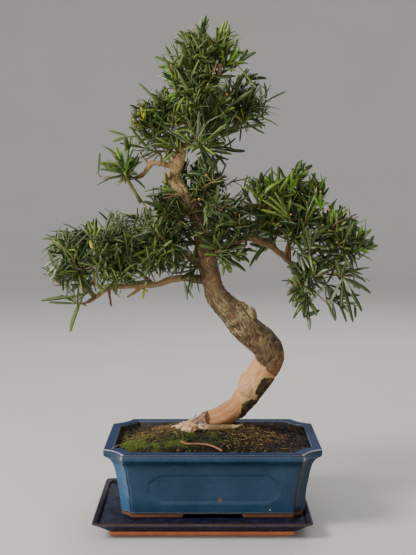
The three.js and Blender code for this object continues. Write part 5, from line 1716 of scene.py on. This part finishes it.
class BONSAI_OT_foliage(bpy.types.Operator):
    """Grows the foliage masses on to fine shoots, with a spray of leaves on each"""

    bl_idname = "bonsai.foliage"
    bl_label = "Foliage"

    def execute(self, context):
        canopy, strokes = Canopy(context.scene.bonsai_foliage), []
        for mass in masses:
            random = np.random.default_rng(mass.seed)
            twigs, tufts = grow_twigs(mass)
            strokes += [(start, end, 0.72 * thick, 0.72 * thin) for start, end, thick, thin in twigs]
            grow_shoots(mass, tufts, canopy, random)
        random = np.random.default_rng(77)
        grow_extra_shoots(canopy, random)
        marked_leaves(canopy, random)
        brown = speckled("Twig bark", paint(128, 98, 62), paint(86, 64, 42), 300.0, 0.8)
        finish(mesh_piece("twigs", *twig_meshes(strokes, random)), brown, "bark")
        green = speckled("Shoot skin", paint(106, 120, 52), paint(122, 98, 58), 180.0, 0.6)
        finish(mesh_piece("shoots", *twig_meshes(canopy.shoots, random)), green, "foliage")
        for kind, rows in canopy.leaves.items():
            piece = mesh_piece(f"leaves_{kind}", *leaf_meshes(rows))
            rough = 0.5 if kind in ("grey", "young") else 0.38
            material = leaf_material(f"Leaf {kind}", LEAF_COLOURS[kind], rough)
            finish(piece, material, "foliage", *[name for name, *_ in MASSES if kind == "dark"])
        self.clipped_ends(canopy.clipped, random)
        return {"FINISHED"}

    def clipped_ends(self, caps, random):
        """Orange-brown ends where shoots were clipped or bear buds."""
        places, ways = (np.array([cap[k] for cap in caps]) for k in range(2))
        frames = axes_about(ways, chance_ways(random, len(caps)))
        sizes = random.uniform(0.9, 1.6, (len(caps), 1)) * np.array([[1.0, 1.0, 1.4]])
        piece = mesh_piece("clipped_ends", *many(*PEBBLE, places, frames, sizes))
        orange = speckled("Clipped end", paint(206, 162, 100), paint(178, 112, 60), 160.0, 0.7)
        finish(piece, orange, "foliage")


def pebble():
    """A twenty-sided pebble of radius 1."""
    gold = (1 + math.sqrt(5)) / 2
    points = unit(np.array([(-1, gold, 0), (1, gold, 0), (-1, -gold, 0), (1, -gold, 0),
                            (0, -1, gold), (0, 1, gold), (0, -1, -gold), (0, 1, -gold),
                            (gold, 0, -1), (gold, 0, 1), (-gold, 0, -1), (-gold, 0, 1)], float))
    faces = [(0, 11, 5), (0, 5, 1), (0, 1, 7), (0, 7, 10), (0, 10, 11), (1, 5, 9), (5, 11, 4),
             (11, 10, 2), (10, 7, 6), (7, 1, 8), (3, 9, 4), (3, 4, 2), (3, 2, 6), (3, 6, 8),
             (3, 8, 9), (4, 9, 5), (2, 4, 11), (6, 2, 10), (8, 6, 7), (9, 8, 1)]
    return points, np.array(faces)


PEBBLE = pebble()


def soil_edge(angle):
    """How far the pot's inner wall lies from the heap's middle, at each angle."""
    cx, cy = SOIL["centre"]
    px, py = POT_CENTRE.x / MM, POT_CENTRE.y / MM
    hx = POT_SIZE.x / MM / 2 - SOIL["inset"]
    hy = POT_SIZE.y / MM / 2 - SOIL["inset"]
    ca, sa = np.cos(angle), np.sin(angle)
    beside_x, beside_y = np.sign(ca) * (px - cx), np.sign(sa) * (py - cy)
    to_x = (hx + beside_x) / np.maximum(np.abs(ca), 1e-6)
    to_y = (hy + beside_y) / np.maximum(np.abs(sa), 1e-6)
    to_cut = (hx + hy - SOIL["cut"] + beside_x + beside_y) / (np.abs(ca) + np.abs(sa))
    return np.minimum(np.minimum(to_x, to_y), to_cut)


def ground_height(x, y):
    """The top of the soil and of the moss cushions, at places in the pot."""
    cx, cy = SOIL["centre"]
    dx, dy = x - cx, y - cy
    angle = np.arctan2(dy, dx)
    away = np.hypot(dx, dy)
    edge = soil_edge(angle)
    rx, ry = SOIL["top"]
    flat = 1 / np.hypot(np.cos(angle) / rx, np.sin(angle) / ry)
    share = np.clip((edge - away) / (edge - flat), 0, 1)
    tilt = (np.cos(angle) * SOIL["toward"][0] + np.sin(angle) * SOIL["toward"][1]) * SOIL["tilt"]
    low = POT_HIGH.z / MM - SOIL["edge_drop"] - tilt
    height = low + (SOIL_TOP - low) * share ** SOIL["power"]
    for (mx, my, mz), (mrx, mry, mrz) in CUSHIONS:
        inside = np.clip(1 - ((x - mx) / mrx) ** 2 - ((y - my) / mry) ** 2, 0, None)
        height = np.maximum(height, np.where(inside > 0, mz + mrz * np.sqrt(inside), 0))
    return height


def moss_share(x, y):
    """How mossy a place is: 1 on the cushions, with ragged edges."""
    share = np.zeros_like(x)
    jag = level_cloud(x, y, 9, 91) - 0.5
    for (mx, my, _), (mrx, mry, _) in CUSHIONS:
        out = np.hypot((x - mx) / (mrx + 3), (y - my) / (mry + 3)) + 0.9 * jag
        share = np.maximum(share, 1 - smooth_step(out, 0.75, 1.0))
    return share


def ground_places(random, count, margin=2.0):
    """Chance places on the soil, spread evenly over the pot's mouth."""
    hx, hy = POT_SIZE.x / MM / 2, POT_SIZE.y / MM / 2
    x = random.uniform(-hx, hx, count * 2) + POT_CENTRE.x / MM
    y = random.uniform(-hy, hy, count * 2) + POT_CENTRE.y / MM
    cx, cy = SOIL["centre"]
    inside = np.hypot(x - cx, y - cy) < soil_edge(np.arctan2(y - cy, x - cx)) - margin
    return x[inside][:count], y[inside][:count]


def level_cloud(x, y, size, seed):
    """Smooth noise over the ground, with cells of a size."""
    return cloud_value(np.column_stack([x / size, y / size, 0 * x]), seed)


def sorted_out(kinds, values):
    """Each kind with the things whose value lies under its limit and not under the last kind's."""
    low = -math.inf
    for name, colour, high in kinds:
        yield name, colour, (values >= low) & (values < high)
        low = high


class BONSAI_OT_soil(bpy.types.Operator):
    """Models the heaped soil and the granules that lie on it"""

    bl_idname = "bonsai.soil"
    bl_label = "Soil"

    def execute(self, context):
        ground = context.scene.bonsai_ground
        angles = turns(160)
        shares = np.linspace(1, 0.012, 64)[:, None]
        cx, cy = SOIL["centre"]
        away = soil_edge(angles)[None] * shares
        x, y = cx + away * np.cos(angles), cy + away * np.sin(angles)
        rough = level_cloud(x.ravel(), y.ravel(), 5, 95) - 0.5
        z = ground_height(x, y) + 2.4 * rough.reshape(x.shape) - 0.6
        deep = np.full_like(x[:1], SOIL["deep"])
        inner = np.stack([cx + (x[:1] - cx) * 0.85, cy + (y[:1] - cy) * 0.85, deep], -1)
        rings = np.concatenate([inner, np.stack([x, y, z], -1)])
        points = np.vstack([rings.reshape(-1, 3), (cx, cy, SOIL["deep"]), (cx, cy, z[-1].mean())])
        base = mesh_piece("soil_heap", points, tube_faces(len(rings), len(angles)))
        earth = speckled("Soil", paint(38, 28, 21), paint(22, 16, 12), 260.0, 0.95, 0.0012)
        finish(base, earth, "soil", "soil")
        random = np.random.default_rng(301)
        x, y = ground_places(random, ground.granules)
        kept = moss_share(x, y) < 0.5 + random.uniform(0, 0.4, len(x))
        x, y = x[kept], y[kept]
        size = random.uniform(0.5, 1.5, len(x)) * (1 + (random.uniform(size=len(x)) > 0.9))
        places = np.column_stack([x, y, ground_height(x, y) + 0.3 * size])
        frames = axes_about(chance_ways(random, len(x)), chance_ways(random, len(x)))
        sizes = size[:, None] * random.uniform(0.6, 1.3, (len(x), 3))
        kinds = [("dark", paint(31, 22, 16), 0.56), ("brown", paint(64, 41, 27), 0.92),
                 ("tan", paint(108, 78, 52), 1.01)]
        for name, colour, chosen in sorted_out(kinds, random.uniform(size=len(x))):
            arrays = many(*PEBBLE, places[chosen], frames[chosen], sizes[chosen])
            material = speckled(f"Granules {name}", colour, shade_of(colour, 0.6), 600.0, 0.95)
            finish(mesh_piece(f"granules_{name}", *arrays), material, "soil", angle=30)
        return {"FINISHED"}


class BONSAI_OT_moss(bpy.types.Operator):
    """Models the moss as small upright blades on its cushions"""

    bl_idname = "bonsai.moss"
    bl_label = "Moss"

    def execute(self, context):
        ground = context.scene.bonsai_ground
        random = np.random.default_rng(311)
        shape = np.array([(1, 0, -0.2), (-0.5, 0.87, -0.2), (-0.5, -0.87, -0.2), (0, 0, 1)])
        faces = [(0, 2, 1), (0, 1, 3), (1, 2, 3), (2, 0, 3)]
        x, y = ground_places(random, ground.moss_blades * 3)
        mossy = moss_share(x, y)
        stray = random.uniform(size=len(x)) < 0.03 * (x < 70)
        kept = (mossy > random.uniform(0.1, 0.9, len(x))) | stray
        x, y = x[kept][:ground.moss_blades], y[kept][:ground.moss_blades]
        ways = chance_ways(random, len(x)) * 0.45 + np.array([0, 0, 1.0])
        frames = axes_about(ways, chance_ways(random, len(x)))
        clump = level_cloud(x, y, 3.4, 99)
        height = random.uniform(1.4, 3.4, len(x)) * (0.6 + 1.3 * clump)
        wide = random.uniform(0.32, 0.62, len(x))
        sizes = np.column_stack([wide, wide, height])
        places = np.column_stack([x, y, ground_height(x, y)])
        tone = 0.75 * level_cloud(x, y, 14, 97)
        tone = tone + 0.35 * (0.5 * random.uniform(size=len(x)) + 0.9 * clump - 0.2) - 0.0045 * (x + 40)
        kinds = [("dark", paint(36, 42, 15), 0.36), ("green", paint(66, 80, 20), 0.62),
                 ("bright", paint(92, 110, 21), math.inf)]
        cushions = {"dark": "moss_centre", "green": "moss_front", "bright": "moss_left"}
        for name, colour, chosen in sorted_out(kinds, tone):
            arrays = many(shape, faces, places[chosen], frames[chosen], sizes[chosen])
            material = leaf_material(f"Moss {name}", colour, 0.7)
            finish(mesh_piece(f"moss_{name}", *arrays), material, "moss", cushions[name])
        return {"FINISHED"}


def strand_meshes(places, ways, lengths, radii, random, spans=5):
    """Thin strands that wander over the ground, as one mesh's arrays."""
    count = len(places)
    rings, centre, way = [], places, unit(ways)
    for i in range(spans + 1):
        frames = axes_about(way, np.tile((0.2, 0.9, 0.37), (count, 1)))
        thin = radii[:, None, None] * (1 - 0.5 * abs(2 * i / spans - 1))
        rings.append(centre[:, None] + spokes(frames[:, :, 0], frames[:, :, 1], 3) * thin)
        if i < spans:
            way = unit(way + chance_ways(random, count) * 0.65)
            centre = centre + way * (lengths / spans)[:, None]
            centre[:, 2] = ground_height(centre[:, 0], centre[:, 1]) + 0.5 + random.uniform(0, 1.6, count)
    return closed_tubes(rings, places, centre, 3)


class BONSAI_OT_fibres(bpy.types.Operator):
    """Models the dry root fibres and old moss strands that mat the soil"""

    bl_idname = "bonsai.fibres"
    bl_label = "Fibres"

    def execute(self, context):
        ground = context.scene.bonsai_ground
        random = np.random.default_rng(321)
        x, y = ground_places(random, ground.fibres * 4, margin=6)
        matted = np.max([np.exp(-((x - cx) / rx) ** 2 - ((y - cy) / ry) ** 2)
                         for (cx, cy), (rx, ry) in FIBRE_PATCHES], 0)
        kept = matted > random.uniform(0.1, 1.0, len(x))
        x, y = x[kept][:ground.fibres], y[kept][:ground.fibres]
        kinds = [("straw", paint(196, 160, 100), 0.36), ("olive", paint(112, 106, 44), 0.6),
                 ("brown", paint(92, 60, 38), 1.1)]
        for name, colour, chosen in sorted_out(kinds, random.uniform(size=len(x))):
            count = int(chosen.sum())
            places = np.column_stack([x[chosen], y[chosen], ground_height(x[chosen], y[chosen]) + 0.8])
            ways = chance_ways(random, count) * (1, 1, 0.15)
            lengths = random.uniform(6, 16, count) * np.where(x[chosen] < 10, 1.9, 1.0)
            radii = random.uniform(0.22, 0.5, count)
            piece = mesh_piece(f"fibres_{name}", *strand_meshes(places, ways, lengths, radii, random))
            finish(piece, speckled(f"Fibre {name}", colour, shade_of(colour, 0.6), 400.0, 0.9), "soil")
        return {"FINISHED"}


def drawn_strand(name, points, radius, material, slot):
    """A round strand along a few points, turned from a curve into a closed mesh."""
    deselect()
    bpy.ops.curve.primitive_nurbs_path_add(location=(0, 0, 0))
    strand = bpy.context.object
    strand.name = strand.data.name = name
    spline = strand.data.splines[0]
    if len(points) > len(spline.points):
        spline.points.add(len(points) - len(spline.points))
    for spot, place in zip(spline.points, points):
        spot.co = (*(value * MM for value in place), 1)
    spline.use_endpoint_u = True
    spline.order_u = 3
    strand.data.bevel_depth = radius * MM
    strand.data.bevel_resolution = 3
    strand.data.use_fill_caps = True
    strand.data.resolution_u = 8
    bpy.ops.object.convert(target="MESH")
    bpy.ops.object.mode_set(mode="EDIT")
    bpy.ops.mesh.select_all(action="SELECT")
    bpy.ops.mesh.remove_doubles(threshold=0.00005)
    leave_closed()
    finish(bpy.context.object, material, slot)


# Ties round the trunk's foot and loose strands on the soil, mm.
WIRES = [
    [(-15, 2, 136), (-11, -2, 140), (-4, 1, 143), (0, 9, 146), (2, 20, 147), (-2, 32, 140)],
    [(-16, -6, 132), (-9, -7, 136), (-2, -3, 141), (4, 5, 145), (6, 18, 147), (4, 32, 141)],
    [(-10, 10, 144), (-13, 2, 141), (-9, -4, 136), (-2, -6, 134), (4, -6, 137)],
]
STRAP = [(8, 2, 131), (4, 4, 138), (3, 8, 144), (5, 16, 147), (8, 26, 145), (10, 34, 136)]
STRAY_ROOT = [(-30, -56, 121.5), (-24, -60, 119.5), (-18, -62, 119.2), (-8, -62, 119.6), (4, -63, 119.0),
              (14, -66, 117.4), (22, -71, 114.4), (27, -75, 112.6)]
HAIR = [(-108, -40, 108), (-113, -44, 113), (-117, -50, 114.5), (-121, -56, 114), (-124, -64, 112.8)]


class BONSAI_OT_ties(bpy.types.Operator):
    """Models the tie wires, the strap and the loose strands at the trunk's foot"""

    bl_idname = "bonsai.ties"
    bl_label = "Ties and strands"

    def execute(self, context):
        wire = speckled("Tie wire", paint(146, 146, 150), paint(70, 68, 70), 420.0, 0.5)
        for i, points in enumerate(WIRES):
            drawn_strand(f"tie_wire_{i + 1}", points, 0.75, wire, "bark")
        strap = speckled("Strap", paint(58, 40, 32), paint(88, 60, 44), 400.0, 0.6)
        drawn_strand("strap", STRAP, 1.5, strap, "bark")
        root = speckled("Stray root", paint(172, 120, 88), paint(120, 76, 54), 320.0, 0.7)
        drawn_strand("stray_root", STRAY_ROOT, 1.35, root, "soil")
        hair = speckled("Hair root", paint(206, 196, 172), paint(170, 156, 128), 500.0, 0.6)
        drawn_strand("hair_root", HAIR, 0.3, hair, "soil")
        return {"FINISHED"}


# The floor and its curve up to the wall, m. The viewpoint, from the pot's and tray's edges, mm and degrees.
STUDIO = {"flat": 3.2, "curve": 1.6, "steps": 10, "wall": 3.6, "under": 0.0003}
CAMERA = {"place": (7.3, -1480.5, 477.7), "tilt": 5.256, "pixels_long": 1060.0, "image_long": 555}
# Soft lights: (name, place, what it faces, size, share of the key's power, colour), m.
LIGHTS = [
    ("key", (-1.7, -1.0, 1.7), (0, 0, 0.3), 0.8, 1.0, (1.0, 0.97, 0.92)),
    ("fill", (-0.7, -2.3, 0.5), (0, 0, 0.15), 1.2, 0.2, (1.0, 0.98, 0.96)),
    ("back", (0.6, 1.7, 1.8), (0, 0, 0.3), 1.2, 0.3, (1.0, 0.98, 0.95)),
]


def soft_light(name, place, target, size, power, colour):
    """A square soft light that faces a place."""
    deselect()
    bpy.ops.object.light_add(type="AREA", location=place)
    light = bpy.context.object
    light.name = light.data.name = name
    light.data.shape = "SQUARE"
    light.data.size = size
    light.data.energy = power
    light.data.color = colour
    light.visible_camera = False
    light.rotation_euler = (Vector(target) - Vector(place)).to_track_quat("-Z", "Y").to_euler()


class BONSAI_OT_stage(bpy.types.Operator):
    """Sets the pale floor, the soft studio lights and the camera"""

    bl_idname = "bonsai.stage"
    bl_label = "Stage"

    def execute(self, context):
        stage = context.scene.bonsai_stage
        flat, curve = STUDIO["flat"], STUDIO["curve"]
        deselect()
        bpy.ops.mesh.primitive_circle_add(
            vertices=96, radius=flat, fill_type="NGON", location=(0, 0, -STUDIO["under"]))
        floor = context.object
        floor.name = "floor"
        bend = [math.pi / 2 * i / STUDIO["steps"] for i in range(STUDIO["steps"] + 1)]
        rings = [(curve * (1 - math.cos(turn)), -curve * math.sin(turn)) for turn in bend]
        bpy.ops.object.mode_set(mode="EDIT")
        raise_wall([*rings, (STUDIO["wall"], -curve)], (0, 0, 0), 2 * flat, 2 * flat)
        bpy.ops.mesh.delete(type="FACE")
        leave_closed(inside=True)
        bpy.ops.object.shade_smooth()
        floor.data.materials.append(
            speckled("Floor", stage.floor[:], shade_of(stage.floor, 0.97), 3.0, 0.8, 0.0))
        world = bpy.data.worlds.new("Studio")
        context.scene.world = world
        world.use_nodes = True
        back = world.node_tree.nodes["Background"]
        back.inputs["Color"].default_value = (*paint(226, 227, 228), 1)
        back.inputs["Strength"].default_value = 0.72
        for name, place, target, size, share, colour in LIGHTS:
            soft_light(name, place, target, size, share * stage.key_power, colour)
        bpy.ops.object.camera_add(location=[value * MM for value in CAMERA["place"]])
        camera = context.object
        camera.name = "camera"
        camera.rotation_euler = (math.radians(90 - CAMERA["tilt"]), 0, 0)
        camera.data.lens = camera.data.sensor_width * CAMERA["pixels_long"] / CAMERA["image_long"]
        context.scene.camera = camera
        return {"FINISHED"}


class BONSAI_PT_panel(bpy.types.Panel):
    """Lists the pieces and their settings"""

    bl_idname = "BONSAI_PT_panel"
    bl_label = "Podocarpus bonsai"
    bl_space_type = "VIEW_3D"
    bl_region_type = "UI"
    bl_category = "Bonsai"

    def draw(self, context):
        for operator in OPERATORS:
            self.layout.operator(operator.bl_idname)
        for name, group in SETTINGS.items():
            box = self.layout.box()
            for key in group.__annotations__:
                box.prop(getattr(context.scene, name), key)


SETTINGS = {
    "bonsai_vessel": VesselSettings,
    "bonsai_limbs": LimbSettings,
    "bonsai_foliage": FoliageSettings,
    "bonsai_ground": GroundSettings,
    "bonsai_stage": StageSettings,
}
OPERATORS = [
    BONSAI_OT_stage, BONSAI_OT_tray, BONSAI_OT_pot_feet, BONSAI_OT_pot, BONSAI_OT_soil,
    BONSAI_OT_fibres, BONSAI_OT_moss, BONSAI_OT_trunk, BONSAI_OT_boughs, BONSAI_OT_foliage,
    BONSAI_OT_ties,
]


def register():
    for kind in [*SETTINGS.values(), *OPERATORS, BONSAI_PT_panel]:
        bpy.utils.register_class(kind)
    for name, group in SETTINGS.items():
        setattr(bpy.types.Scene, name, bpy.props.PointerProperty(type=group))


def unregister():
    for name in SETTINGS:
        delattr(bpy.types.Scene, name)
    for kind in reversed([*SETTINGS.values(), *OPERATORS, BONSAI_PT_panel]):
        bpy.utils.unregister_class(kind)


def main():
    register()
    bpy.ops.bonsai.stage()
    bpy.ops.bonsai.tray()
    bpy.ops.bonsai.pot_feet()
    bpy.ops.bonsai.pot()
    bpy.ops.bonsai.soil()
    bpy.ops.bonsai.fibres()
    bpy.ops.bonsai.moss()
    bpy.ops.bonsai.trunk()
    bpy.ops.bonsai.boughs()
    bpy.ops.bonsai.foliage()
    bpy.ops.bonsai.ties()


if __name__ == "__main__":
    main()
